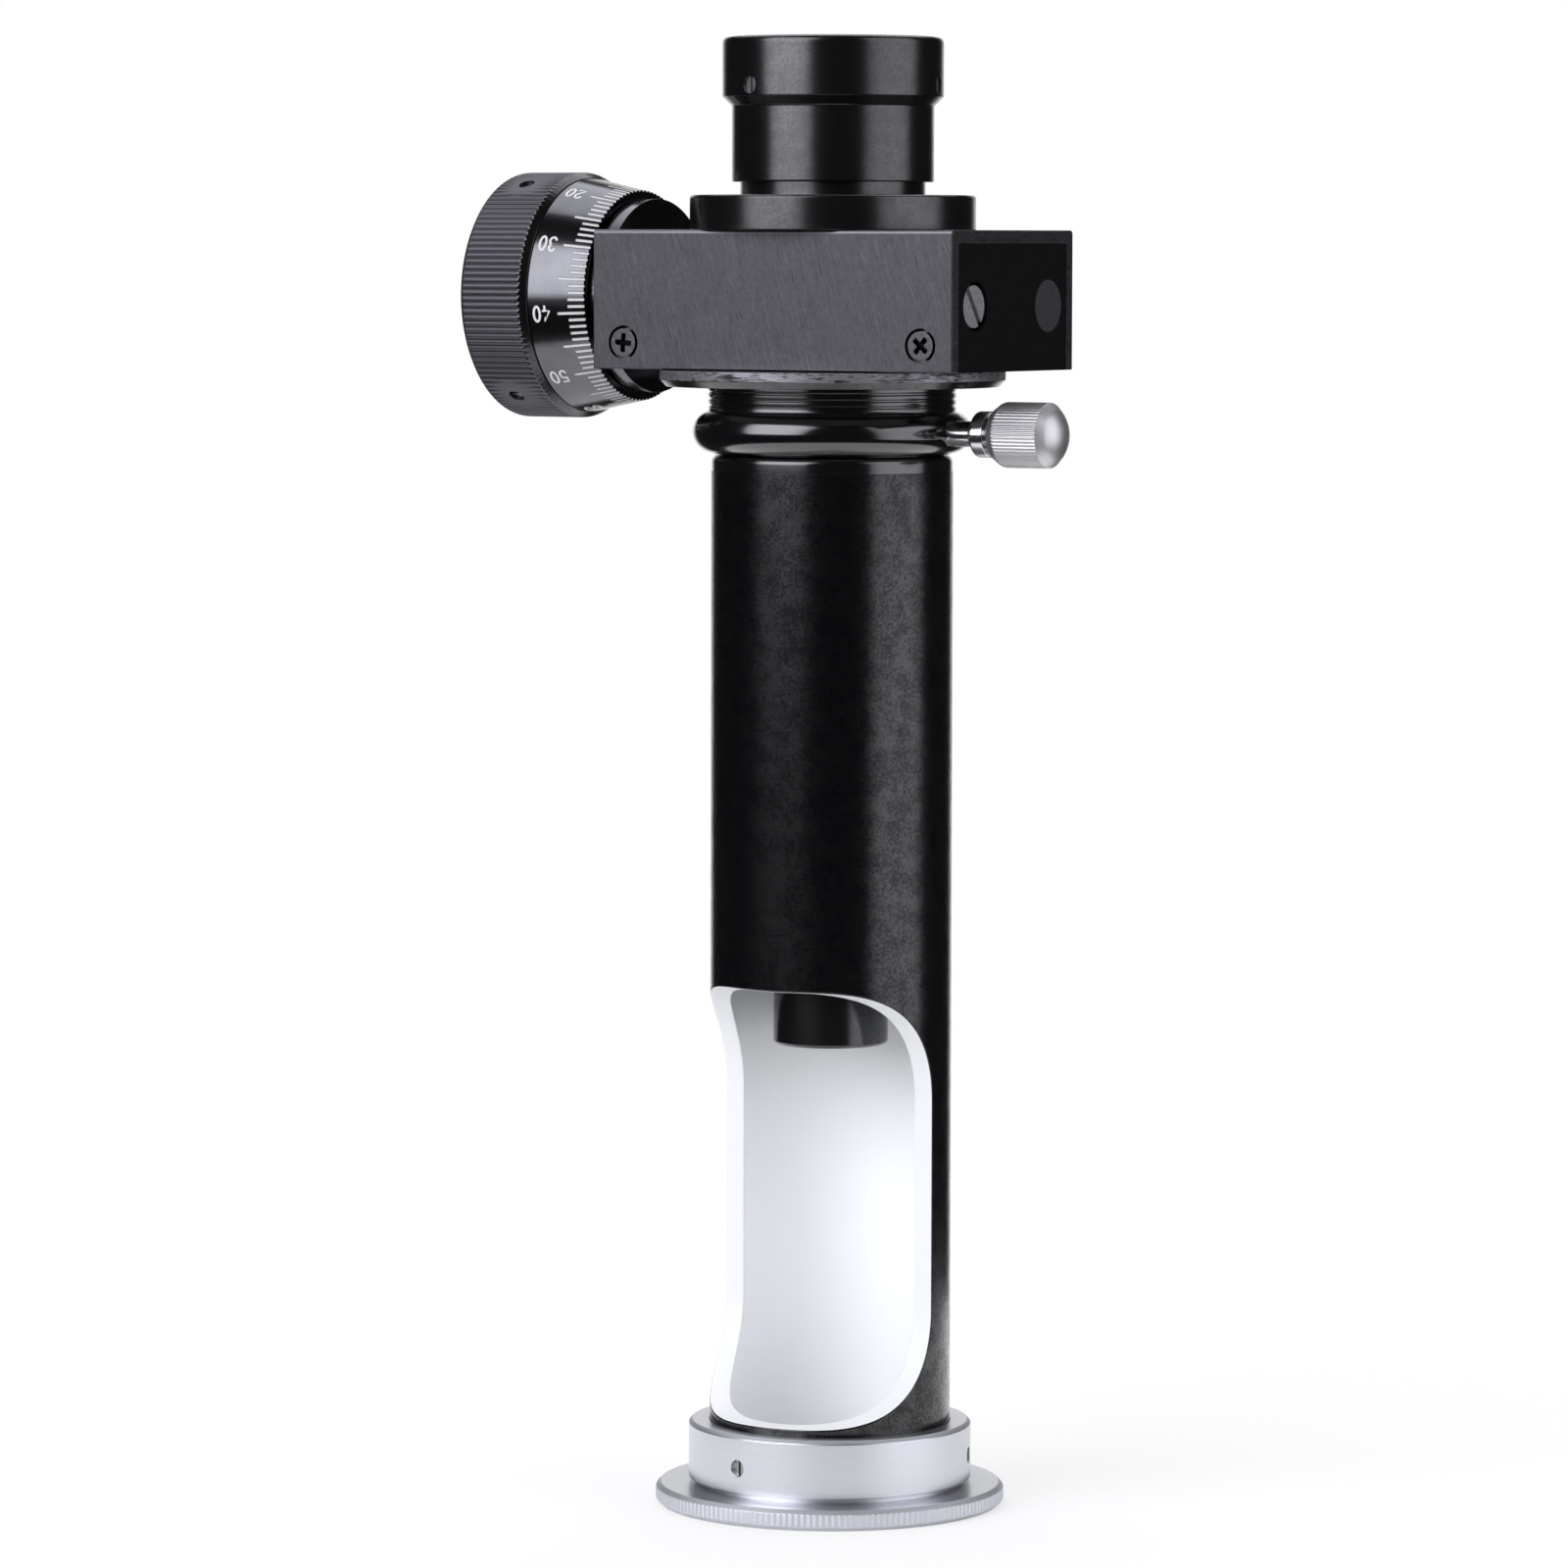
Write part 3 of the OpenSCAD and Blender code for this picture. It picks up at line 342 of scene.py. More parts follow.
def lathe(shell, corners, facets, steps=4, start=-math.pi, shape=None, holes=()):
    """Turns a closed profile round the shell's axis: point = (r cos a, r sin a, h). shape(r, h, a) may change these
    arrays and gives each face's material. A hole is (turn, height, radius, half height of its cell, floor radius):
    the profile passes through a point at either end of the cell, and the cell is as wide as it is high."""
    if np.ndim(facets):
        angles, facets = facets, len(facets) - 1
    else:
        angles = start + np.linspace(0, TAU, facets + 1)
    for run in outline(corners, steps):
        r, a = (m.copy() for m in np.broadcast_arrays(run[:, :1], angles))
        h = np.broadcast_to(run[:, 1:], r.shape).copy()
        slot = 0
        if shape:
            r, h, a, slot = shape(r, h, a)
        points = np.stack([r * np.cos(a), r * np.sin(a), h], -1)
        points[:, -1] = points[:, 0]
        normals = grid_normals(points)
        skip = np.zeros((len(run) - 1, facets), bool)
        for turn, height, radius, half, floor in holes:
            top, bottom = (np.flatnonzero(abs(run[:, 1] - height - d) < 1e-6) for d in (half, -half))
            if not (len(top) and len(bottom) and top[0] < bottom[0]):
                continue
            i0, i1 = top[0], bottom[0]
            spread = math.asin(half / run[i0, 0])
            j0, j1 = (round((turn + s * spread - start) / TAU * facets) for s in (-1, 1))
            skip[i0:i1, j0:j1] = True
            down, right = np.arange(i0, i1 + 1), np.arange(j0, j1 + 1)
            i = np.concatenate([np.full(len(right) - 1, i1), down[:0:-1], np.full(len(right) - 1, i0), down])
            j = np.concatenate([right[:-1], np.full(len(down) - 1, j1), right[:0:-1], np.full(len(down), j0)])
            rim = np.stack([r[i, j] * np.sin(a[i, j] - turn), h[i, j] - height], -1)
            side = np.array([math.cos(turn), math.sin(turn), 0])
            axes = np.array([[-side[1], side[0], 0], [0, 0, 1], side])
            heights, radii = run[down[::-1], 1], run[down[::-1], 0]
            plain = normals[down[::-1], j0] @ np.array([[math.cos(angles[j0]), 0], [math.sin(angles[j0]), 0], [0, 1]])

            def surface(x, y):
                reach = np.interp(y + height, heights, radii)
                out = np.sqrt(reach ** 2 - x ** 2)
                n_r, n_h = (np.interp(y + height, heights, plain[:, k]) for k in (0, 1))
                return out, np.stack([n_r * x / reach, n_h, n_r * out / reach], -1)

            drill(shell, rim, radius, surface, np.array([0, 0, height]), axes, floor, HOLE_EDGE, (0, 1))
        shell.add(points, normals, slot, skip)


def arc(radius_at, height_at, radius, first, last, steps):
    """Profile points on a circle round (radius_at, height_at) between two angles, in degrees."""
    t = np.radians(np.linspace(first, last, steps + 1))
    return [(radius_at + radius * c, height_at + radius * s, None) for c, s in zip(np.cos(t), np.sin(t))]


def cell_points(radius, height, half):
    """Profile points down the side of a hole's cell."""
    return [(radius, height + half * k / 4, None) for k in range(4, -5, -1)]


def teeth(tip, depth, count, nearby, lowest, flat=0.0):
    """Shape for a straight knurl: in rows within nearby of the tip's radius the radius is at most tip - depth * w,
    with w = |1 - 2 frac(count a / tau)| cut off below the share flat, smoothed at both ends. Rows below lowest stay
    round."""
    def shape(r, h, a):
        wave = np.abs(1 - 2 * np.mod(a * count / TAU, 1))
        wave = np.clip((wave - flat) / (1 - flat), 0, 1)
        wave = wave * wave * (3 - 2 * wave)
        cut = np.minimum(r, tip - depth * wave)
        return np.where((r > tip - nearby) & (h > lowest), cut, r), h, a, 0
    return shape


def inside(mask, slot=1):
    """The slot for each face whose first and last corner lie in the mask, and 0 for the others."""
    return slot * (mask[:-1, :-1] & mask[1:, 1:]).astype(int)


def bulge(rim, sag, top, points):
    """Profile points from the axis outwards on a ball that is this high at the axis and sag lower at the rim."""
    ball = (rim * rim + sag * sag) / (2 * sag)
    return [(float(x), top - ball + math.sqrt(ball ** 2 - x * x), None) for x in points]


def turned(node, ending, body, materials, corners, facets, steps=4, slot="black_anodised", shell=None, **options):
    """Turns the piece that stands for a CAD node and has the node's name with this ending."""
    shell = shell or Shell()
    lathe(shell, corners, facets, steps, **options)
    return shell.piece(f"{node}_{ending}", body, slot, materials, [node])


# Materials

def arithmetic(operation, swapped=False):
    """A method that puts the wire and another value through one operation of the Math node."""
    def method(self, other):
        return self.math(operation, *((other, self) if swapped else (self, other)))
    return method


class Wire:
    """A socket in a material's Python arithmetic: each operation on it adds a Math node."""

    def __init__(self, shader, socket):
        self.shader, self.socket = shader, socket

    def math(self, operation, *values):
        return self.shader.node("Math", {"operation": operation}, dict(enumerate(values)))

    # Each pair is for the wire on the left and for the wire on the right of the sign
    __add__, __radd__ = arithmetic("ADD"), arithmetic("ADD", True)
    __sub__, __rsub__ = arithmetic("SUBTRACT"), arithmetic("SUBTRACT", True)
    __mul__, __rmul__ = arithmetic("MULTIPLY"), arithmetic("MULTIPLY", True)
    __pow__ = arithmetic("POWER")

    def step(self, low_end, high_end):
        """0 below the low end, 1 above the high end and smooth between them."""
        ends = {"Value": self, "From Min": low_end, "From Max": high_end}
        return self.shader.node("MapRange", {"interpolation_type": "SMOOTHSTEP"}, ends)


class Shader:
    """One material and its nodes, or with on() the nodes of a light or of the surroundings."""

    def __init__(self, name):
        self.material = bpy.data.materials.new(name)
        self.material.use_nodes = True
        self.tree = self.material.node_tree
        self.tree.nodes.clear()
        self.place = self.node("TexCoord", output="Object")

    @classmethod
    def on(cls, tree):
        shader = cls.__new__(cls)
        shader.tree = tree
        tree.nodes.clear()
        return shader

    def node(self, kind, settings=(), inputs=(), output=0):
        """Adds a node: its settings first, then the values or links of its sockets by name or number."""
        node = self.tree.nodes.new("ShaderNode" + kind)
        for key, value in dict(settings).items():
            setattr(node, key, value)
        for key, value in dict(inputs).items():
            socket = node.inputs[key]
            if isinstance(value, Wire):
                self.tree.links.new(value.socket, socket)
            elif hasattr(socket.default_value, "__len__") and len(socket.default_value) == 4:
                socket.default_value = (*value, 1)[:4]
            else:
                socket.default_value = value
        return Wire(self, node.outputs[output]) if node.outputs else None

    def mix(self, factor, a, b):
        """The colour a where factor is 0 and b where it is 1."""
        return self.node("Mix", {"data_type": "RGBA"}, {0: factor, 6: a, 7: b}, 2)

    def noise(self, size, turn=(0, 0, 0), detail=2.0, rough=0.5, place=None):
        """Noise between 0 and 1 whose lumps have these sizes in mm along the axes, turned by these degrees."""
        if not hasattr(size, "__len__"):
            size = (size, size, size)
        stretch = {"Vector": place or self.place, "Rotation": [math.radians(t) for t in turn],
                   "Scale": [s * MM for s in size]}
        vector = self.node("Mapping", {"vector_type": "TEXTURE"}, stretch)
        return self.node("TexNoise", (), {"Vector": vector, "Scale": 1.0, "Detail": detail, "Roughness": rough})

    def mottle(self, grain, cloud, detail, share):
        """Blotches with soft borders: grains of this size in mm that crowd together in larger clouds."""
        lumps = self.noise(grain, detail=4, rough=0.7) + share * (self.noise(cloud, detail=detail) - 0.5)
        return lumps.step(0.36, 0.64)

    def vector(self, operation, *values, output=0):
        """One operation of the Vector Math node."""
        return self.node("VectorMath", {"operation": operation}, dict(enumerate(values)), output)

    def part(self, vector, axis):
        """The part of a vector that lies along one axis."""
        return self.node("SeparateXYZ", (), {0: vector}, axis)

    def around(self, axis, height):
        """The place from (0, 0, height) in mm, and its distance from the axis X or Z through that point."""
        moved = self.vector("SUBTRACT", self.place, (0, 0, height * MM))
        flat = self.vector("MULTIPLY", moved, (0, 1, 1) if axis == "X" else (1, 1, 0))
        return moved, self.vector("LENGTH", flat, output="Value")

    def rings(self, axis, height, fine, along):
        """Turning marks: noise of the distance from the axis and the way along it, drawn out round the piece."""
        moved, radius = self.around(axis, height)
        vector = self.node("CombineXYZ", (), {"X": radius, "Y": self.part(moved, axis)})
        return self.noise((fine, fine, along), place=vector, detail=3)

    def bump(self, height, depth, normal=None):
        """A normal from a height between 0 and 1 that stands for a depth in mm."""
        inputs = {"Height": height, "Distance": depth * MM, "Strength": 1.0}
        if normal:
            inputs["Normal"] = normal
        return self.node("Bump", (), inputs)

    def surface(self, **inputs):
        """The finished surface, from the shader's sockets by name with _ for a space."""
        shader = self.node("BsdfPrincipled", (), {k.replace("_", " "): v for k, v in inputs.items()})
        self.node("OutputMaterial", (), {"Surface": shader})
        return self.material


FINISHES = {}


def shade(colour, share):
    """A colour made darker or brighter."""
    return [min(1.0, c * share) for c in colour]


def finish(make, *options):
    """The finish that one of the make functions gives, made once for each choice of options."""
    key = "_".join([make.__name__.removeprefix("make_"), *map(str, options)])
    if key not in FINISHES:
        FINISHES[key] = make(Shader(key), bpy.context.scene.microscope_colours, *options)
    return FINISHES[key]


def make_enamel(s, colours, gloss=0.0):
    """Black enamel: orange peel, and a clear coat that lies on in blotches, which breaks up the highlights. With
    gloss 1, as on the collar, the coat is whole."""
    peel = s.noise(1.4, detail=1)
    grain = s.noise(0.24, detail=4, rough=0.6)
    speck = s.noise(0.12, detail=1).step(0.74, 0.8)
    normal = s.bump(grain, 0.0026 - 0.0018 * gloss, s.bump(peel, 0.003))
    tint = s.mix(speck * (1 - gloss), colours.enamel, shade(colours.enamel, 12))
    rough = 0.17 - 0.05 * gloss + 0.08 * grain
    return s.surface(Base_Color=tint, Roughness=rough, Normal=normal, Specular_IOR_Level=0.36 + 0.64 * gloss,
                     Coat_Weight=gloss or s.mottle(0.34, 2.2, 3, 0.5), Coat_Roughness=0.22 - 0.11 * gloss)


def make_lining(s, colours, share=1.0):
    """White lacquer: soft clouds of tone and a faint peel. Share is below 1 at the cut edge, which comes out darker.
    """
    tint = s.mix(s.noise(14, detail=2), shade(colours.lining, 0.96 * share), shade(colours.lining, share))
    return s.surface(Base_Color=tint, Roughness=0.42 + 0.12 * s.noise(2.2), Normal=s.bump(s.noise(0.8), 0.004))


def make_anodised(s, colours, axis="Z", height=0.0):
    """Black anodised aluminium: fine turning marks, pale worn specks and a blotchy sheen."""
    rings = s.rings(axis, height, 0.12, 60)
    dust = s.noise(0.22, detail=3).step(0.68, 0.8)
    tint = s.mix(dust * 0.35, colours.anodised, shade(colours.anodised, 5))
    rough = 0.16 + 0.1 * rings + 0.1 * dust
    return s.surface(Base_Color=tint, Roughness=rough, Normal=s.bump(rings, 0.002), Specular_IOR_Level=0.85,
                     Coat_Weight=0.6 * s.mottle(0.3, 2, 2, 0.4), Coat_Roughness=0.2)


def make_worn_rim(s, colours):
    """Rim of the disc, rubbed grey in ragged streaks where the head is turned by hand."""
    streak = s.noise((1.6, 1.6, 0.14), detail=4, rough=0.7)
    patch = s.noise((2.6, 2.6, 0.9), detail=3)
    worn = (0.6 * streak + 0.4 * patch).step(0.4, 0.54)
    tint = s.mix(worn, colours.anodised, shade(colours.cover, 3.2))
    return s.surface(Base_Color=tint, Metallic=worn, Roughness=0.6 - 0.1 * worn, Normal=s.bump(streak, 0.006))


def make_drum(s, colours):
    """Polished black of the graduated cone: a dark mirror with faint turning marks and handling smears."""
    rings = s.rings("X", Z_DRUM, 0.1, 60)
    smear = s.noise((2.5, 5, 5), detail=3)
    tint = s.mix(smear.step(0.3, 0.8), colours.drum, shade(colours.drum, 0.82))
    return s.surface(Base_Color=tint, Metallic=1.0, Roughness=0.13 + 0.08 * smear, Normal=s.bump(rings, 0.0012))


def make_knurl(s, colours):
    """Satin dark grey of the knurled ring: mottled skin, paler where fingers wore the teeth."""
    tips = high("knurled_ring")[1] * MM
    mottle = s.noise(0.9, detail=4, rough=0.65)
    radius = s.around("X", Z_DRUM)[1]
    worn = radius.step(tips - 0.14 * MM, tips) * (0.75 + 0.5 * (mottle - 0.5))
    tint = s.mix(worn, colours.knurl, shade(colours.knurl, 3.2))
    return s.surface(Base_Color=tint, Metallic=0.9, Roughness=0.44 + 0.12 * mottle,
                     Normal=s.bump(s.noise(0.12, detail=2), 0.002))


def make_cover(s, colours):
    """Dark cover brushed at a slant: fine scratches, a few pale, dark and deep ones, and a painted highlight along its
    two top fold edges.
    """
    _, side, top = high("cover")
    fine = s.noise((0.035, 2, 3.2), turn=(0, -12, 0), detail=3, rough=0.7)
    broad = s.noise((0.22, 2, 7), turn=(0, -14, 0), detail=2)
    deep = s.noise((0.06, 2, 2.2), turn=(0, -22, 0), detail=1).step(0.7, 0.78)
    flecks = s.noise(0.07, detail=2).step(0.62, 0.8)
    cloth = s.noise(0.45, detail=3, rough=0.7)
    pale = s.noise((0.1, 2, 3.5), turn=(0, -21, 0), detail=2).step(0.58, 0.7)
    dark = s.noise((0.12, 2, 3), turn=(0, -16, 0), detail=2).step(0.6, 0.72)
    y, z = (s.part(s.place, axis) for axis in "YZ")
    # Painted highlight: the mask below lightens the tone along the two top fold edges, where light from above would
    # catch them.
    near_side = y.math("ABSOLUTE", y).step((side - 0.4) * MM, (side - 0.05) * MM)
    fold_highlight = near_side * z.step((top - 0.55) * MM, (top - 0.2) * MM)
    tone = 0.55 + 0.5 * fine + 0.4 * (broad - 0.5) + 0.5 * (cloth - 0.5) + 0.5 * deep + 0.3 * flecks
    tone = tone + 0.35 * pale - 0.3 * dark + 1.4 * fold_highlight
    tint = s.node("VectorMath", {"operation": "SCALE"}, {0: list(colours.cover), "Scale": tone})
    normal = s.bump(fine, 0.004, s.bump(broad, 0.006))
    return s.surface(Base_Color=tint, Metallic=1.0, Roughness=0.36 + 0.16 * fine, Normal=normal)


def make_turned(s, colours, tone, axis="Z", height=0.0, rough=0.3):
    """Turned metal: fine rings round its axis that vary in tone, in gloss and a little in depth."""
    metal = getattr(colours, tone)
    rings = s.rings(axis, height, 0.07, 90)
    broad = s.rings(axis, height, 0.55, 40)
    streak = s.noise((7, 7, 0.16) if axis == "Z" else (0.16, 7, 7), detail=3)
    tint = s.mix(0.55 * rings + 0.45 * streak, shade(metal, 0.78), metal)
    gloss = rough + 0.16 * rings + 0.08 * broad + 0.08 * (streak - 0.5)
    return s.surface(Base_Color=tint, Metallic=1.0, Roughness=gloss, Normal=s.bump(rings, 0.0025))


def make_small_steel(s, colours, tone, rough=0.28, face=0.0):
    """Small screws and rods: blued or bright steel with scuffs from tools. Where a screw's face lies this many mm from
    the middle of the box, what is deeper is painted near black as shade in the recess."""
    metal = getattr(colours, tone)
    scuff = s.noise((0.3, 0.3, 0.12), turn=(20, 35, 10), detail=4, rough=0.7)
    tint = s.mix(scuff.step(0.4, 0.75), shade(metal, 0.6), shade(metal, 1.35))
    if face:
        y = s.part(s.place, "Y")
        # Painted shade: below the screw's face the cross recess is painted near black.
        unshaded_face = y.math("ABSOLUTE", y).step((face - 0.3) * MM, (face - 0.02) * MM)
        tint = s.mix(unshaded_face, (0.006, 0.006, 0.006), tint)
    return s.surface(Base_Color=tint, Metallic=1.0, Roughness=rough + 0.25 * scuff, Normal=s.bump(scuff, 0.006))


def make_marks(s, colours):
    """White paint in lines and on digits, a little uneven."""
    uneven = s.noise(0.12, detail=2)
    tint = s.mix(uneven.step(0.35, 0.7), shade(colours.marks, 0.8), colours.marks)
    return s.surface(Base_Color=tint, Roughness=0.5 + 0.2 * uneven, Normal=s.bump(uneven, 0.004))


def make_glass(s, colours):
    """Coated glass with a trace of dust."""
    dust = s.noise(0.3, detail=4).step(0.72, 0.8)
    return s.surface(Base_Color=s.mix(dust, colours.glass, (0.8, 0.82, 0.84)), Roughness=0.01 + 0.1 * dust,
                     IOR=1.52, Transmission_Weight=1.0, Coat_Weight=0.3, Coat_Tint=(0.75, 0.8, 1.0, 1.0))


# Operators

class PieceOperator:
    """What the operators of the pieces share: make() gets the sizes, and an error in it stops the script."""
    bl_options = {"REGISTER", "UNDO"}

    def execute(self, context):
        self.make(context.scene.microscope_sizes)
        return {"FINISHED"}


class MICROSCOPE_OT_foot(PieceOperator, bpy.types.Operator):
    """Foot: knurled flange, groove and the ring that grips the tube, with three screw holes"""
    bl_idname = "microscope.foot"
    bl_label = "Foot"

    def make(self, sizes):
        rim_r, top, flange_t = high("foot")[0], high("foot")[2], low("tube")[2]
        ring_r, bore_r, aperture_r = 16.45, 14.01, 11.0
        bevel, groove, ring_bevel = 0.54, 0.6, 0.4
        screw_z, cell, tooth_count = middle("foot_set_screws")[2], 1.7, 180
        corners = [
            (bore_r, top, 0.15), (ring_r - ring_bevel, top, 0.1), (ring_r, top - ring_bevel, 0.1),
            *cell_points(ring_r, screw_z, cell),
            (ring_r, flange_t + groove, 0.1), (ring_r - groove, flange_t + groove, 0.05),
            (ring_r - groove, flange_t, 0.08), (rim_r - bevel, flange_t, 0.1), (rim_r, flange_t - bevel, 0.16),
            (rim_r, bevel, 0.16), (rim_r - bevel, 0, 0.1), (aperture_r, 0, 0.15), (aperture_r, flange_t, 0.1),
            (bore_r, flange_t, 0),
        ]
        knurl = teeth(rim_r, 0.11, tooth_count, 0.3, -1)

        def shape(r, h, a):
            edge = (r > rim_r - bevel - 0.06) | ((h > top - ring_bevel - 0.02) & (r > ring_r - ring_bevel - 0.05))
            return *knurl(r, h, a)[:3], inside(edge, 2)

        bright, satin = (finish(make_turned, "aluminium", "Z", 0.0, rough) for rough in (0.2, 0.42))
        turned("foot", "turned", "stand", [bright, bright, satin], corners, tooth_count * sizes.tooth_facets, 3,
               "bright_aluminium", shape=shape,
               holes=[(math.radians(t), screw_z, 0.95, cell, bore_r + 0.1) for t in (-9, 111, -129)])


class MICROSCOPE_OT_tube(PieceOperator, bpy.types.Operator):
    """Tube: enamelled outside, white inside, with the long window whose cut edge is lacquered white"""
    bl_idname = "microscope.tube"
    bl_label = "Tube"

    ends = (23.6, 48.0)   # heights of the middles of the window's two round ends
    end_r = 13.0          # radius of the round ends, in the plane of Y and Z
    behind = 13.5         # how far these middles lie behind the window, along Y

    def quarter(self, radius, grow, count, upper):
        """Half of one end of the window and half of its side, on a cylinder of this radius: the end is a circle of
        radius end_r + grow, the side is straight, and count points share the length."""
        reach = self.end_r + grow
        t = math.acos(min(1.0, (self.behind - radius) / reach)) * (1 - np.linspace(0, 1, 600) ** 2)
        turn = np.arccos(np.clip((self.behind - reach * np.cos(t)) / radius, -1, 1))
        turn[0] = 0
        rise = self.ends[upper] + (1 if upper else -1) * reach * np.sin(t)
        turn, rise = np.append(turn, turn[-1]), np.append(rise, sum(self.ends) / 2)
        run = np.concatenate([[0], np.cumsum(np.hypot(np.diff(turn) * radius, np.diff(rise)))])
        at = np.linspace(0, run[-1], count)
        return np.stack([np.interp(at, run, turn), np.interp(at, run, rise)], -1)

    def make(self, sizes):
        outer, bottom, top = high("tube")[0], low("tube")[2], high("tube")[2]
        bore, facets, edge = outer - 2.4, sizes.facets, sizes.window_edge
        cell = (8.0, 66.0)
        wide, side_steps = facets // 3, 12
        angles = np.linspace(-math.pi, math.pi, facets + 1)

        def on(radius, flat):
            return np.stack([radius * np.cos(flat[..., 0]), radius * np.sin(flat[..., 0]), flat[..., 1]], -1)

        def around(upper, under):
            """A loop clockwise from the middle of the upper end, from its right half's two quarters."""
            right = np.concatenate([upper, under[::-1]])
            return np.concatenate([right, (right * (-1, 1))[-2::-1]])

        shell = Shell()
        corners = [(bore, top, 0), (outer, top, 0.02), (outer, cell[1], None), (outer, cell[0], None),
                   (outer, bottom, 0), (bore, bottom, 0), (bore, cell[0], None), (bore, cell[1], None)]
        for run in outline(corners, 8):
            lining = run[:, 0].max() == bore
            points = np.concatenate([run[:, :1, None] * np.stack([np.cos(angles), np.sin(angles)], -1),
                                     np.broadcast_to(run[:, 1:, None], (len(run), facets + 1, 1))], -1)
            skip = np.zeros((len(run) - 1, facets), bool)
            rows = np.flatnonzero(np.isin(run[:, 1], cell))
            if len(rows) == 2:
                skip[rows[0]:rows[1], facets // 2 - wide:facets // 2 + wide] = True
            shell.add(points, None, int(lining), skip)
        turns = np.append(angles[facets // 2:facets // 2 + wide + 1], np.full(side_steps, angles[facets // 2 + wide]))
        border = around(*(np.stack([turns, np.full(len(turns), z)], -1) for z in cell[::-1]))

        def loop(radius, grow):
            return around(*(self.quarter(radius, grow, len(turns), u) for u in (1, 0)))

        share = np.linspace(0, 1, 9)[:, None, None]
        t = np.linspace(0, 1, 5)[:, None, None]
        band = [np.stack([on(r, loop(r, 0)) for r in np.linspace(outer - edge, bore + edge, 6)[1:-1]])]
        for radius, inward, slot in ((outer, -1, 0), (bore, 1, 1)):
            flat = border * (1 - share) + loop(radius, edge) * share
            normals = -inward * on(1.0, flat * (1, 0))
            shell.add(on(radius, flat), normals, slot, flip=inward > 0)
            a, corner = (on(radius, loop(radius, grow)) for grow in (edge, 0))
            b = on(radius + inward * edge, loop(radius + inward * edge, 0))
            curve = (1 - t) ** 2 * a + 2 * t * (1 - t) * corner + t ** 2 * b
            band = [curve] + band if inward < 0 else band + [curve[::-1]]
        band = np.concatenate(band)
        shell.add(band, None, 2 * (np.arange(len(band) - 1) > 1)[:, None])
        shell.piece("tube_enamelled", "stand", "black_enamel",
                    [finish(make_enamel), finish(make_lining), finish(make_lining, 0.86)], ["tube"])


class MICROSCOPE_OT_collar(PieceOperator, bpy.types.Operator):
    """Collar: lip, round bead and grooved neck, with the hole of the thumb screw"""
    bl_idname = "microscope.collar"
    bl_label = "Collar"

    def make(self, sizes):
        bottom, top, bead_r, cell = low("collar")[2], high("collar")[2], 2.5, 2.05
        bead_at, neck_r, bore_r, spigot_r = high("collar")[0] - bead_r, 14.35, 10.03, 11.59
        lip_r, lip_z, lip_round, groove = high("tube")[0] - 0.01, high("tube")[2], 0.85, 0.12
        corners = [(bore_r, top, 0.15), (neck_r, top, 0.12)]
        for z in (top - 0.75, top - 1.5, top - 2.25):
            corners += [(neck_r, z + 0.25, 0.1), (neck_r - groove, z + 0.2, 0.04), (neck_r - groove, z, 0.04),
                        (neck_r, z - 0.05, 0.1)]
        join = math.degrees(math.acos((neck_r - bead_at) / bead_r))
        stop = math.degrees(math.asin(cell / bead_r))
        corners += arc(bead_at, Z_CLAMP, bead_r, join, stop, 5)[:-1]
        corners += arc(bead_at, Z_CLAMP, bead_r, stop, -stop, 16)
        corners += arc(bead_at, Z_CLAMP, bead_r, -stop, -90, 8)[1:-1]
        round_at, lip_top = lip_r - lip_round, Z_CLAMP - bead_r
        corners += [(round_at, lip_top, 0.05), *arc(round_at, lip_top - 0.1 - lip_round, lip_round, 90, 0, 8),
                    (lip_r, lip_z, 0.02), (spigot_r, lip_z, 0), (spigot_r, bottom, 0.2), (bore_r, bottom, 0.2)]
        turned("collar", "enamelled", "stand", 2 * [finish(make_enamel, 1.0)], corners, sizes.facets,
               slot="black_enamel", holes=[(math.pi / 2, Z_CLAMP, 1.53, cell, 12.6)])


class MICROSCOPE_OT_thumb_screw(PieceOperator, bpy.types.Operator):
    """Thumb screw: plated shank, shoulder, straight knurl and domed end"""
    bl_idname = "microscope.thumb_screw"
    bl_label = "Thumb screw"

    def make(self, sizes):
        tip, end, knob_r = low("lock_screw")[0], high("lock_screw")[0], high("lock_screw")[2] - Z_CLAMP
        dome_r, knob, shank_r, tooth_count = 3.0, 22.1, 1.47, 56
        corners = bulge(dome_r, 1.1, end, np.linspace(0, dome_r, 12)) + [
            (knob_r, end - 1.85, 0.12), (knob_r, knob + 1.2, 0.3), (2.95, knob, 0.15), (1.9, knob, 0.1),
            (1.9, 21.4, 0.1), (2.65, 21.4, 0.12), (2.65, 19.8, 0.2), (1.5, 19.0, 0.1), (shank_r, 18.9, None),
            (shank_r, tip + 0.4, None), (1.1, tip, 0.1), (0, tip, 0),
        ]
        knurl = teeth(knob_r, 0.1, tooth_count, 0.3, knob + 0.4, 0.15)
        shell = Shell(ALONG_X, (0, 0, Z_CLAMP))
        lathe(shell, corners, tooth_count * sizes.tooth_facets, 5,
              shape=lambda r, h, a: (*knurl(r, h, a)[:3], inside(h < knob + 0.1)))
        shell.piece("thumb_screw", "clamp_screw", "nickel_plate",
                    [finish(make_turned, "nickel", "X", Z_CLAMP, rough) for rough in (0.3, 0.06)], ["lock_screw"])


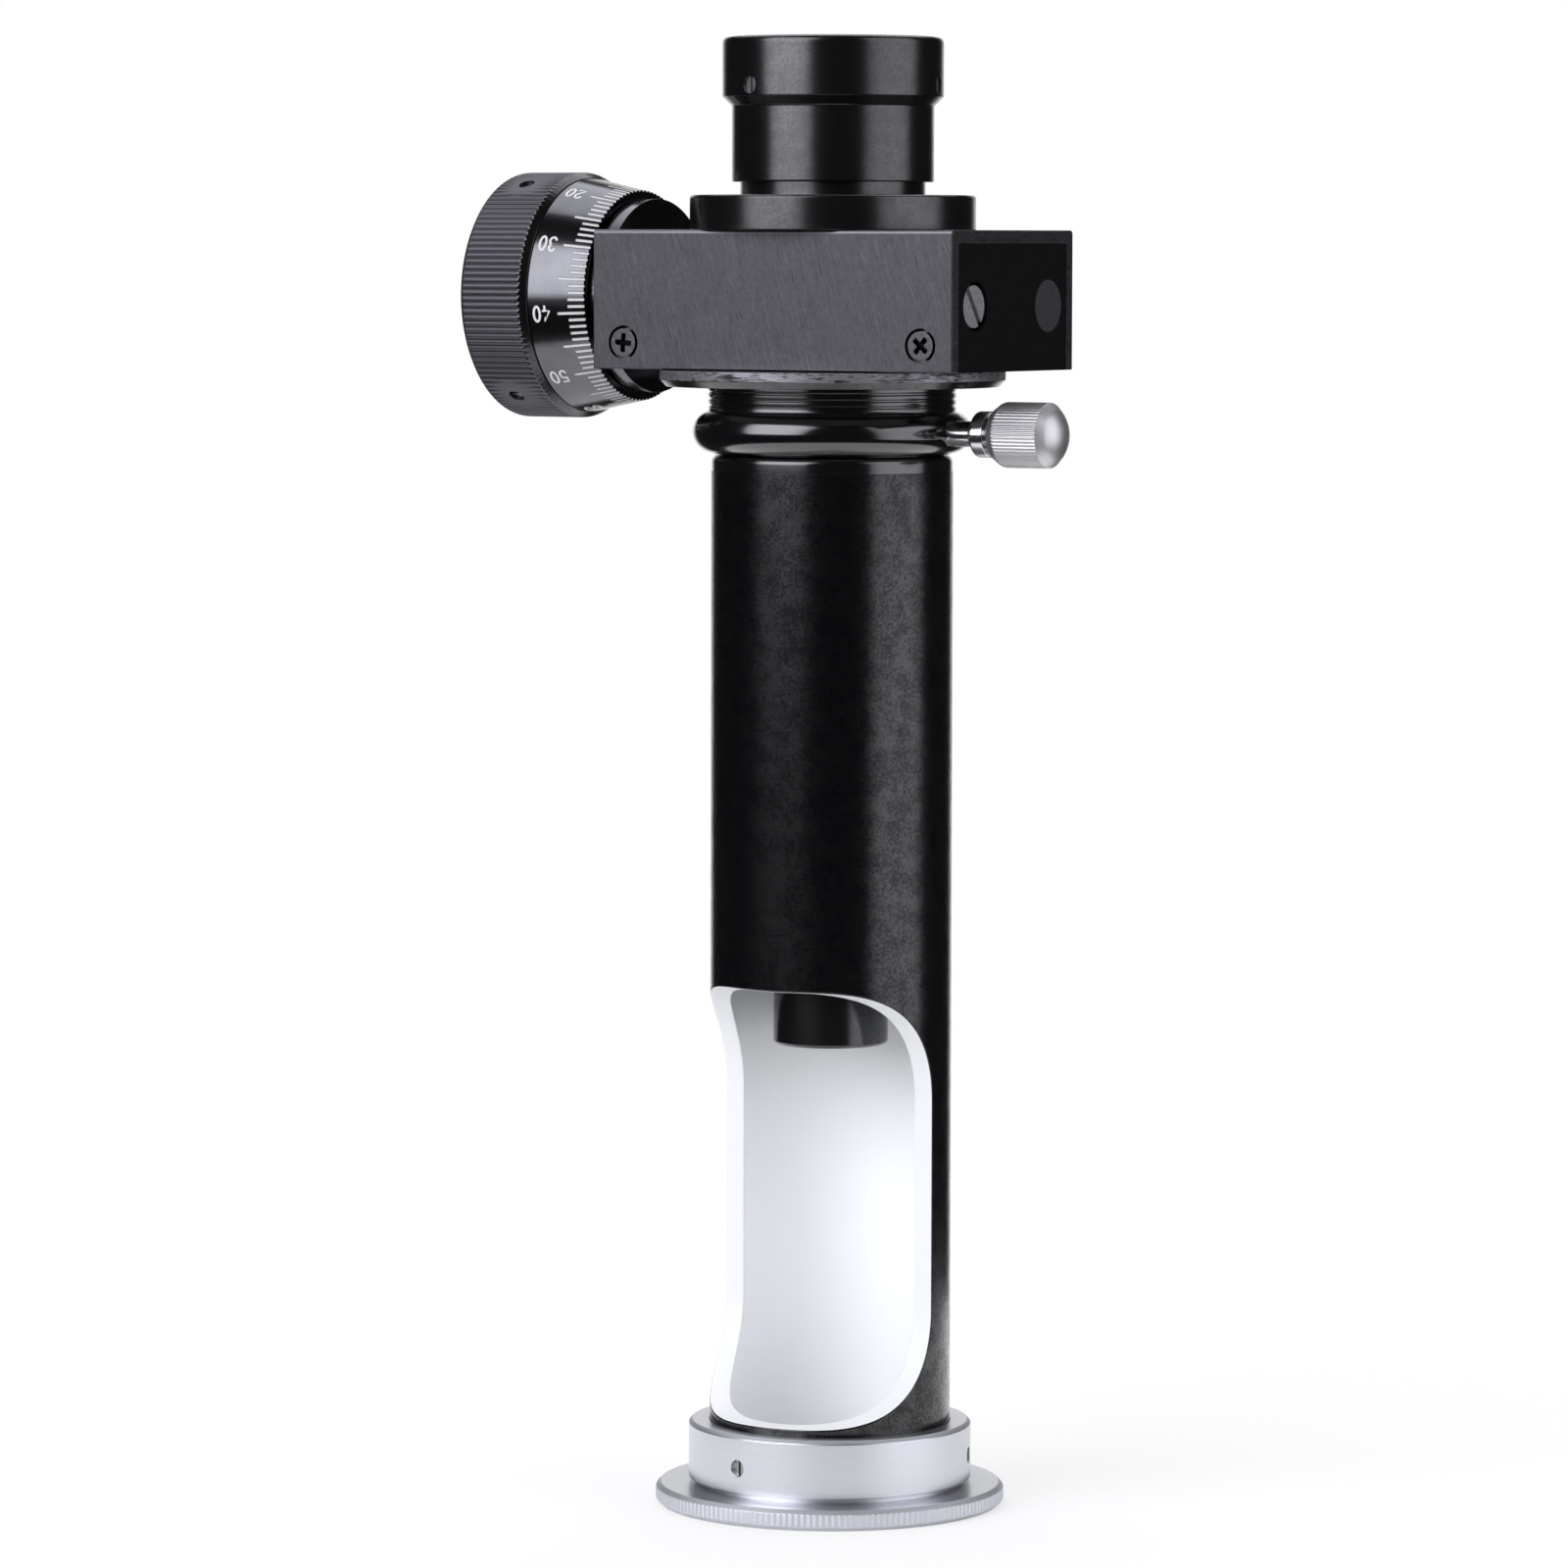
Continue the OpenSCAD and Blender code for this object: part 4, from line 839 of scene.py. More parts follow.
class MICROSCOPE_OT_draw_tube(PieceOperator, bpy.types.Operator):
    """Draw tube, the disc that the head turns on and the objective's barrel"""
    bl_idname = "microscope.draw_tube"
    bl_label = "Draw tube"

    def make(self, sizes):
        black = finish(make_anodised)
        bottom, top, disc = low("draw_tube")[2], high("draw_tube")[2], low("swivel_disc")[2]
        bore_r, seat_r, web, web_top = 8.7, 7.8, 120.9, 122.9
        corners = [(bore_r, top, 0.1), (9.39, top, 0.08), (9.39, disc, 0), (10, disc, 0.05), (10, bottom, 0.3),
                   (bore_r, bottom, 0.1), (bore_r, web, 0), (seat_r, web, 0.1), (seat_r, web_top, 0.1),
                   (bore_r, web_top, 0)]
        turned("draw_tube", "turned", "draw", [black], corners, sizes.facets)
        disc_r, bevel = high("swivel_disc")[0], 0.8
        corners = [(9.4, top, 0.1), (disc_r, top, 0.1), (disc_r, disc + bevel, 0.12), (disc_r - bevel, disc, 0.12),
                   (9.4, disc, 0.1)]
        turned("swivel_disc", "turned", "draw", [black, finish(make_worn_rim)], corners, sizes.facets,
               shape=lambda r, h, a: (r, h, a, inside((r > disc_r - 0.1) & (h > disc + bevel))))
        bottom, top, thread = low("objective_barrel")[2], high("objective_barrel")[2], 73
        bore_r, thread_r, nose_r, mouth_r = 5.61, 8.69, 6.65, 4.8
        corners = [(bore_r, top, 0.1), (thread_r, top, 0.2), (thread_r, thread, 0.05), (nose_r, thread, 0.02),
                   (nose_r, bottom + 0.3, 0.1), (nose_r - 0.3, bottom, 0.08), (mouth_r, bottom, 0.12),
                   (mouth_r, bottom + 1, 0.05), (bore_r, bottom + 1, 0)]
        turned("objective_barrel", "turned", "draw", [black], corners, sizes.facets)


class MICROSCOPE_OT_cover(PieceOperator, bpy.types.Operator):
    """Cover: one sheet folded round the box, brushed, with four blind round holes for the screw heads and soft edges
    """
    bl_idname = "microscope.cover"
    bl_label = "Cover"

    def make(self, sizes):
        (x0, _, bottom), (x1, half, top) = low("cover"), high("cover")
        sheet_t, fold, soft, hole_r = 1.5, 0.4, 0.14, 1.96
        screw_x, screw_z, cell = x1 - 4.1, bottom + 3, 2.2
        soft_rows, cell_rows, fold_rows = 5, 12, 5
        upright = soft_rows + cell_rows + 2
        across = np.linspace(-cell, cell, cell_rows + 1)

        # Rows: rounding of the lower edge, front, fold and half the top, and the same mirrored. b is the turn along
        # the rounding, and plain is the normal of the folded section.
        b = np.linspace(math.pi / 2, 0, soft_rows)
        f = np.linspace(0, math.pi / 2, fold_rows + 1)[1:]
        z = np.concatenate([bottom + soft * (1 - np.sin(b)), screw_z + across, [top - fold]])
        curve = np.stack([fold * (1 - np.cos(f)) - half, top - fold * (1 - np.sin(f))], -1)
        outer = np.concatenate([np.stack([np.full(upright, -half), z], -1), curve])
        inner = np.stack([np.full(upright, sheet_t - half), np.minimum(z, top - sheet_t)], -1)
        inner = np.concatenate([inner, np.tile([sheet_t - half, top - sheet_t], (fold_rows, 1))])
        plain = np.concatenate([np.tile([-1.0, 0], (upright, 1)), np.stack([-np.cos(f), np.sin(f)], -1)])
        outer, inner, plain = (np.concatenate([m, (m * (-1, 1))[::-1]]) for m in (outer, inner, plain))
        b = np.concatenate([b, np.zeros(len(outer) - 2 * soft_rows), b[::-1]])

        # Columns: a centre across the sheet as (x, depth), and the way from it to the surface
        flat = np.concatenate([[x0 + soft], across - screw_x, across + screw_x, [x1 - soft]])
        g = np.linspace(0, math.pi / 2, soft_rows)[1:]
        end = np.stack([np.sin(g), -np.cos(g)], -1)
        centre = np.concatenate([np.tile([x0 + soft, soft], (len(g), 1)), np.stack([flat, flat * 0 + soft], -1),
                                 np.tile([x1 - soft, soft], (len(g), 1))])
        way = np.concatenate([(end * (-1, 1))[::-1], np.tile([0.0, -1.0], (len(flat), 1)), end])

        def put(centre, way, skip=None, flip=False):
            """Adds columns, point = centre + soft * cos(b) * way, laid on the folded section."""
            radius = (soft * np.cos(b))[:, None]
            x = centre[:, 0] + radius * way[:, 0]
            depth = (centre[:, 1] + radius * way[:, 1])[..., None] / sheet_t
            yz = outer[:, None] * (1 - depth) + inner[:, None] * depth
            normals = np.concatenate([np.broadcast_to(way[:, :1], (*x.shape, 1)), -way[:, 1:] * plain[:, None]], -1)
            normals *= np.cos(b)[:, None, None]
            normals[..., 2] -= np.sin(b)[:, None]
            shell.add(np.concatenate([x[..., None], yz], -1), normals, skip=skip, flip=flip)

        def level(x, y):
            return np.full(x.shape, sheet_t), np.broadcast_to([0.0, 0, 1], (*x.shape, 3))

        shell = Shell(np.eye(3))
        skip = np.zeros((len(b) - 1, len(centre) - 1), bool)
        border = [(a, -cell) for a in across] + [(cell, a) for a in across[1:]]
        border = np.array(border + [(-x, -y) for x, y in border[1:]])
        for row, side in ((soft_rows, -1), (len(b) - 1 - soft_rows - cell_rows, 1)):
            for column, x in ((soft_rows, -screw_x), (soft_rows + cell_rows + 1, screw_x)):
                skip[row:row + cell_rows, column:column + cell_rows] = True
                axes = np.array([[-side, 0, 0], [0, 0, 1], [0, side, 0]], float)
                base = np.array([x, side * (half - sheet_t), screw_z])
                drill(shell, border, hole_r, level, base, axes, 0.35, 0.05, (0, 1), 4)
        put(centre, way, skip, True)
        for side, x in ((-1, x0), (1, x1)):
            face = np.array([[x - side * soft, soft], [x - side * soft, sheet_t]])
            put(face, np.tile([float(side), 0.0], (2, 1)), flip=side > 0)
        below = (soft * (1 - np.cos(b)))[:, None]
        x = np.clip(np.concatenate([[x0], flat, [x1]]), x0 + below, x1 - below)
        sheet = np.concatenate([x[..., None], np.broadcast_to(inner[:, None], (*x.shape, 2))], -1)
        fold_end = upright + fold_rows - 1
        for part, normal in ((slice(0, upright + 1), (0.0, 1, 0)), (slice(fold_end, -fold_end), (0.0, 0, -1)),
                             (slice(-upright - 1, None), (0.0, -1, 0))):
            shell.add(sheet[part], np.broadcast_to(normal, sheet[part].shape))
        for row, flip in ((0, False), (-1, True)):
            yz = np.stack([outer[row] + (inner[row] - outer[row]) * soft / sheet_t, inner[row]])
            xs = np.broadcast_to(flat, (2, len(flat)))
            points = np.concatenate([xs[..., None], np.broadcast_to(yz[:, None], (2, len(flat), 2))], -1)
            shell.add(points, np.broadcast_to([0.0, 0, -1], points.shape), flip=flip)
        shell.piece("cover_folded", "head", "brushed_dark_cover", [finish(make_cover), finish(make_anodised)],
                    ["cover"])


class MICROSCOPE_OT_cover_screws(PieceOperator, bpy.types.Operator):
    """Cover screws: four countersunk heads with cross recesses, each turned as its thread left it"""
    bl_idname = "microscope.cover_screws"
    bl_label = "Cover screws"

    def make(self, sizes):
        (_, _, z0), (x1, face, z1) = low("cover_screws"), high("cover_screws")
        head_r, thread_r, shank, recess = (z1 - z0) / 2, 0.99, 5, 0.6
        corners = [(0, 0, 0), *[(r, 0, None) for r in np.linspace(0, head_r - 0.2, 46)[1:]], (head_r, 0, 0.1),
                   (thread_r, thread_r - head_r, 0.05), (thread_r, -shank, 0.1), (0, -shank, 0)]
        shell = Shell()
        for side, end, turn in ((-1, -1, 4), (-1, 1, 41), (1, -1, 68), (1, 1, 15)):

            def shape(r, h, a):
                """Sinks the face by the deeper of two crossed arms, each with sloping walls."""
                depth = 0 * r
                for quarter in (0, 90):
                    b = a + math.radians(turn + quarter)
                    across, along = np.abs(r * np.cos(b)), np.abs(r * np.sin(b))
                    arm = np.clip((0.3 - across) / 0.12, 0, 1) * np.clip((1.1 - along) / 0.25, 0, 1)
                    depth = np.maximum(depth, recess * arm)
                return r, np.where(h > -1e-6, h - depth, h), a, 0

            shell.turn = np.array([[-side, 0, 0], [0, 0, side], [0, 1, 0]], float)
            shell.origin = np.array([end * (x1 - head_r), side * face, (z0 + z1) / 2])
            lathe(shell, corners, 160, shape=shape)
        steel = finish(make_small_steel, "dark_steel", 0.3, round(float(face), 2))
        shell.piece("cover_screws_cut", "head", "dark_steel", [steel], ["cover_screws"])


class MICROSCOPE_OT_sleeve(PieceOperator, bpy.types.Operator):
    """Bearing sleeve: the drum turns on it, and it carries the index line"""
    bl_idname = "microscope.sleeve"
    bl_label = "Bearing sleeve"

    def make(self, sizes):
        (x0, _, _), (x1, sleeve_r, _) = low("bearing_sleeve"), high("bearing_sleeve")
        box, shoulder, bore_r, spigot_r, neck_r = x1 - 2, x1 - 4.1, 3.03, 5.79, 10.3
        corners = [(bore_r, x1, 0.1), (spigot_r, x1, 0.15), (spigot_r, box, 0), (sleeve_r, box, 0.05),
                   (sleeve_r, shoulder, 0.12), (neck_r, shoulder, 0.03), (neck_r, x0, 0.15), (bore_r, x0, 0.1)]
        side = np.array([-0.05, 0, 0.02, 0.04]) - sizes.line_width / 2
        side = np.concatenate([side, -side[::-1]]) / sleeve_r
        start = sizes.zero_turn - math.pi
        angles = np.sort(np.concatenate([start + np.linspace(0, TAU, sizes.facets + 1), sizes.zero_turn + side]))

        def shape(r, h, a):
            cut = (np.abs(a - sizes.zero_turn) < sizes.line_width / 2 / sleeve_r - 0.001) & (r > sleeve_r - 0.3)
            deep = np.where(cut, r - sizes.line_depth, r)
            return deep, h, a, (cut[:-1, :-1] | cut[1:, 1:]).astype(int)

        turned("bearing_sleeve", "turned", "head", [finish(make_drum), finish(make_marks)], corners, angles,
               shell=drum_shell(), shape=shape)


# Length and radii of the drum's graduated cone, in mm
CONE_LENGTH, CONE_SMALL, CONE_BIG = 6.9, 12.3, 13.7


def cone_radius(x):
    """Radius of the drum's graduated cone at a place along the drum axis, in mm."""
    return CONE_SMALL + (high("thimble")[0] - x) / CONE_LENGTH * (CONE_BIG - CONE_SMALL)


class MICROSCOPE_OT_thimble(PieceOperator, bpy.types.Operator):
    """Thimble: polished cone with a hundred engraved and painted lines"""
    bl_idname = "microscope.thimble"
    bl_label = "Thimble"

    def make(self, sizes):
        web, free = low("thimble")[0], high("thimble")[0]
        step, bore_r, spigot_r, screw_r, web_t = free - CONE_LENGTH, 10.6, 11.99, 2.01, 2
        ends = [free - s - d for s in (sizes.short_line, sizes.long_line) for d in (-0.04, 0, 0.04)]
        corners = [(bore_r, free - 0.3, 0.05), (bore_r + 0.3, free, 0.05), (CONE_SMALL - 0.15, free, None),
                   (CONE_SMALL, free, 0.05), *[(cone_radius(x), x, None) for x in ends], (CONE_BIG, step, 0.1),
                   (spigot_r, step, 0.05), (spigot_r, web, 0.1), (screw_r, web, 0.05),
                   (screw_r, web + web_t, 0.05), (bore_r, web + web_t, 0.1)]
        half, count = sizes.line_width / 2, 100
        pitch = TAU / count
        side = np.array([-half - 0.06, -half, -half + 0.03, -half + 0.06])
        side = np.concatenate([side, -side[::-1], [0]])
        lines = np.repeat(np.arange(count), len(side))
        centre = sizes.zero_turn + lines * pitch
        centre[len(side) - 1::len(side)] += pitch / 2
        side = np.append(np.tile(side, count), side[0])
        centre = np.append(centre, centre[0] + TAU)
        number = np.append(lines, count)
        reach = np.where(number % 5 == 0, sizes.long_line, sizes.short_line)
        in_line = (np.abs(side) < half - 0.02) & (side != 0)

        def shape(r, h, a):
            cut = in_line & (r > CONE_SMALL - 0.1) & (h > free - reach + 0.001) & (h > step + 1)
            slots = cut[:-1, :-1] | cut[1:, 1:] | cut[1:, :-1] | cut[:-1, 1:]
            return np.where(cut, r - sizes.line_depth, r), h, centre + side / np.maximum(r, 12), slots.astype(int)

        turned("thimble", "engraved", "drum", [finish(make_drum), finish(make_marks)], corners, centre, 3,
               shell=drum_shell(), shape=shape)


class MICROSCOPE_OT_knurled_ring(PieceOperator, bpy.types.Operator):
    """Knurled ring: flat-topped straight teeth that run out round the three screw holes"""
    bl_idname = "microscope.knurled_ring"
    bl_label = "Knurled ring"

    def make(self, sizes):
        (x0, _, _), (x1, tip, _) = low("knurled_ring"), high("knurled_ring")
        web, bore_r, hole_r, half = x0 + 1.5, 12.01, 3.13, 1.4
        screw_x, tooth_count = middle("drum_set_screws")[0], 120
        turns = [math.radians(t) for t in (-185, -65, 55)]
        corners = [(hole_r, x0, 0.1), (tip - 0.85, x0, 0.35), (tip, x0 + 0.7, 0.35),
                   *cell_points(tip, screw_x, half)[::-1], (tip, x1 - 0.8, 0.2), (tip - 0.7, x1, 0.1),
                   (bore_r, x1, 0.05), (bore_r, web, 0), (hole_r, web, 0.05)]
        knurl = teeth(tip, 0.16, tooth_count, 0.14, x0, 0.4)

        def shape(r, h, a):
            cut = knurl(r, h, a)[0]
            for turn in turns:
                away = np.hypot(h - screw_x, tip * (np.mod(a - turn + math.pi, TAU) - math.pi))
                cut = cut + (r - cut) * np.clip((3.2 - away) / 0.9, 0, 1)
            return cut, h, a, (h[:-1, :-1] > x1 - 0.95).astype(int)

        turned("knurled_ring", "cut", "drum", [finish(make_knurl), finish(make_anodised, "X", Z_DRUM)], corners,
               tooth_count * sizes.tooth_facets, 5, shell=drum_shell(), start=-math.radians(210),
               shape=shape, holes=[(turn, screw_x, 0.93, half, bore_r + 0.3) for turn in turns])


def oval(x, y, width, height, first, last, steps=28):
    """Points of an ellipse round (x, y) between two angles, in degrees."""
    t = np.radians(np.linspace(first, last, steps + 1))
    return np.stack([x + width * np.cos(t), y + height * np.sin(t)], -1)


def line(*points):
    """A line through these points."""
    return np.array(points, float)


def glyph(digit):
    """Centre lines of a digit's strokes in a box 1 wide and 2 high."""
    if digit == 9:
        return [(1, 2) - stroke for stroke in glyph(6)]
    return {
        0: [oval(0.5, 1, 0.5, 1, 90, 450, 48)],
        1: [line((0.15, 1.55), (0.6, 2), (0.6, 0))],
        2: [np.concatenate([oval(0.5, 1.48, 0.48, 0.52, 165, -35), line((0, 0), (1, 0))])],
        3: [np.concatenate([oval(0.46, 1.52, 0.44, 0.48, 155, -80), oval(0.48, 0.54, 0.52, 0.54, 80, -155)])],
        4: [line((0.78, 0), (0.78, 2), (0, 0.6), (1.05, 0.6))],
        5: [np.concatenate([line((0.92, 2), (0.16, 2), (0.1, 1.12)), oval(0.47, 0.64, 0.53, 0.64, 130, -150)])],
        6: [np.concatenate([oval(1.02, 0.62, 1.02, 1.38, 105, 180), oval(0.5, 0.62, 0.5, 0.62, 180, 540)])],
        7: [line((0, 2), (1, 2), (0.36, 0))],
        8: [oval(0.5, 1.51, 0.42, 0.49, 90, 450, 36), oval(0.5, 0.51, 0.5, 0.51, 90, 450, 36)],
    }[digit]


def ribbon(shell, stroke, width, put):
    """A flat raised stroke: left and right borders lie half a width from the centre line, narrow to nothing over a
    half round at either end, and are closed by a top, a base and two walls. put(points, lift) lays them in place."""
    closed = np.linalg.norm(stroke[0] - stroke[-1]) < 1e-6
    apart = np.concatenate([[True], np.linalg.norm(np.diff(stroke, axis=0), axis=1) > 1e-6])
    stroke, half = stroke[apart], width / 2
    wide = np.full(len(stroke), half)
    if closed:
        ring = stroke[:-1]
        tangent = np.roll(ring, -1, axis=0) - np.roll(ring, 1, axis=0)
        tangent = np.concatenate([tangent, tangent[:1]])
    else:
        b = np.linspace(0, math.pi / 2, 6)[:-1]
        first, last = stroke[0] - stroke[1], stroke[-1] - stroke[-2]
        first, last = (np.outer(np.cos(b), end / np.linalg.norm(end)) * half for end in (first, last))
        stroke = np.concatenate([stroke[0] + first, stroke, (stroke[-1] + last)[::-1]])
        wide = np.concatenate([np.sin(b) * half, wide, (np.sin(b) * half)[::-1]])
        tangent = np.gradient(stroke, axis=0)
    tangent /= np.linalg.norm(tangent, axis=1, keepdims=True)
    out = np.stack([-tangent[:, 1], tangent[:, 0]], -1) * wide[:, None]
    left, right = stroke + out, stroke - out
    for a, b, lifts in ((left, right, (1, 1)), (right, left, (0, 0)), (right, right, (1, 0)), (left, left, (0, 1))):
        shell.add(np.stack([put(a, lifts[0]), put(b, lifts[1])], 1), flip=True)


class MICROSCOPE_OT_numbers(PieceOperator, bpy.types.Operator):
    """Numbers: white digits 0 to 90 on the drum's cone, each pair beside its long line"""
    bl_idname = "microscope.numbers"
    bl_label = "Drum numbers"

    def make(self, sizes):
        first = high("thimble")[0] - 4.15
        stroke, gap = sizes.digit_stroke, 0.18
        scale = np.array([sizes.digit_width - stroke, (sizes.digit_height - stroke) / 2])
        shell = drum_shell()
        for tens in range(10):
            for place, digit in enumerate(map(int, str(tens * 10))):
                turn = sizes.zero_turn + tens * TAU / 10
                offset = place * (sizes.digit_width + gap) + stroke / 2

                def put(points, lift):
                    """Reading runs against X, and up is towards the higher numbers."""
                    x = first - offset - points[:, 0]
                    r = cone_radius(x) + (0.02 if lift else -0.04)
                    a = turn + (points[:, 1] + stroke / 2 - sizes.digit_height / 2) / cone_radius(x)
                    return np.stack([r * np.cos(a), r * np.sin(a), x], -1)

                for centre_line in glyph(digit):
                    ribbon(shell, centre_line * scale, stroke, put)
        shell.piece("drum_numbers", "drum", "black_anodised", [finish(make_marks)])


class MICROSCOPE_OT_eyepiece(PieceOperator, bpy.types.Operator):
    """Eyepiece: flange with its neck, the barrel that turns on it and the cap with its cup"""
    bl_idname = "microscope.eyepiece"
    bl_label = "Eyepiece"

    def make(self, sizes):
        black, facets, e = finish(make_anodised), sizes.facets, sizes.edge
        (_, _, bottom), (flange_r, _, end) = low("eyepiece_holder"), high("eyepiece_holder")
        base, face, bore_r, neck_r, spigot_r, seat_r, bevel = high("cover")[2], end - 7, 8, 10.67, 8.99, 7, 0.25
        corners = [(bore_r, end, e), (neck_r, end, e), (neck_r, face, 0.05), (flange_r - bevel, face, e),
                   (flange_r, face - bevel, e), (flange_r, base, e), (spigot_r, base, 0.02), (spigot_r, bottom, e),
                   (seat_r, bottom, 0.05), (seat_r, bottom + 0.3, 0), (bore_r, bottom + 0.3, 0)]
        turned("eyepiece_holder", "turned", "head", [black], corners, facets)
        (_, _, bottom), (cap_r, _, top), cap = low("eyepiece_barrel"), high("eyepiece_barrel"), low("eyepiece_cap")[2]
        bore_r, spigot_r, thread_r, flare, depth = 9.53, 11.4, 10.7, 1.1, 6.8
        corners = [(bore_r, top, 0.05), (spigot_r, top, e), (spigot_r, cap, 0), (cap_r, cap, 0.08),
                   (cap_r - flare, cap - flare, 0.15), (cap_r - flare, bottom, 0.2), (thread_r, bottom, e),
                   (thread_r, bottom + depth, 0), (bore_r, bottom + depth, 0)]
        turned("eyepiece_barrel", "turned", "eyepiece_shell", [black], corners, facets)
        top, screw, half = high("eyepiece_cap")[2], cap + 1.2, 1.08
        cup, bore_r = top - 1.7, spigot_r + 0.01
        corners = [(8.43, cup, 0.05), (10.6, top, 0.15), (cap_r, top, 0.8), *cell_points(cap_r, screw, half),
                   (cap_r, cap, 0.1), (bore_r, cap, 0.05), (bore_r, cup, 0)]
        turned("eyepiece_cap", "turned", "eyepiece_shell", [black, black], corners, facets, 6,
               holes=[(math.radians(t), screw, 1.0, half, 11.45) for t in (-17, 103, -137)])


class MICROSCOPE_OT_lenses(PieceOperator, bpy.types.Operator):
    """Lenses: flat below, bulged above, with a ground edge"""
    bl_idname = "microscope.lenses"
    bl_label = "Lenses"

    def make(self, sizes):
        for node, body, sag in (("eye_lens", "eyepiece_optics", 0.9), ("field_lens", "eyepiece_optics", 0.7),
                                ("objective_lens", "draw", 0.8)):
            bottom, (rim, _, top) = low(node)[2], high(node)
            corners = bulge(rim, sag, top, np.linspace(0, rim, 16)[:-1])
            corners += [(rim, top - sag, 0.1), (rim, bottom, 0.15), (0, bottom, 0)]
            turned(node, "ground", body, [finish(make_glass)], corners, sizes.facets // 2, slot="optical_glass")


class MICROSCOPE_OT_springs(PieceOperator, bpy.types.Operator):
    """Return springs: round wire on a helix, point = (x0 + (x1 - x0) t / turns, R cos 2 pi t, R sin 2 pi t)"""
    bl_idname = "microscope.springs"
    bl_label = "Return springs"

    def make(self, sizes):
        (x0, _, z0), (x1, y1, z1) = low("return_springs"), high("return_springs")
        wire, turns, centre_z = 0.2, 6, (z0 + z1) / 2
        coil = (z1 - z0) / 2 - wire
        t = np.linspace(0, turns, turns * 28 + 1)
        b = np.linspace(0, TAU, 13)
        shell = Shell(np.eye(3))
        for side in (-1, 1):
            out = np.stack([t * 0, np.cos(TAU * t), np.sin(TAU * t)], -1)
            centre = out * coil + (0, side * (y1 - coil - wire), centre_z)
            centre[:, 0] = x0 + wire + (x1 - x0 - 2 * wire) * t / turns
            ring = np.cos(b)[None, :, None] * out[:, None] + np.sin(b)[None, :, None] * np.array([1.0, 0, 0])
            points = centre[:, None] + wire * ring
            points[:, -1] = points[:, 0]
            shell.add(points, ring)
            for end, flip in ((0, False), (-1, True)):
                shell.add(np.stack([np.broadcast_to(centre[end], points[end].shape), points[end]]), flip=flip)
        steel = finish(make_small_steel, "steel")
        obj = shell.piece("return_springs_wound", None, "steel", [steel], ["return_springs"])
        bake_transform(obj)


class MICROSCOPE_OT_finishes(PieceOperator, bpy.types.Operator):
    """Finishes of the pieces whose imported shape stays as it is"""
    bl_idname = "microscope.finishes"
    bl_label = "Finishes"

    def make(self, sizes):
        kept = {
            (make_anodised,): "objective_ring housing_block pivot_sleeve scale_ring carriage_frame lens_cell "
                              "eye_lens_ring field_lens_ring",
            (make_small_steel, "steel"): "foot_set_screws pivot_clip guide_rods lead_screw_clip drum_end_screw "
                                         "drum_set_screws cap_set_screws",
            (make_small_steel, "steel", 0.55): "rod_screw",
            (make_small_steel, "plug", 0.5): "rod_plug",
            (make_small_steel, "dark_steel"): "holder_screws",
            (make_turned, "brass", "X", Z_CLAMP, 0.25): "lock_pad",
            (make_turned, "brass", "X", Z_DRUM, 0.25): "carriage_nut",
            (make_turned, "steel", "X", Z_DRUM, 0.22): "lead_screw",
            (make_glass,): "scale_glass reticle_glass",
        }
        for choice, nodes in kept.items():
            for node in nodes.split():
                materials = frame["nodes"][node].data.materials
                materials.clear()
                materials.append(finish(*choice))


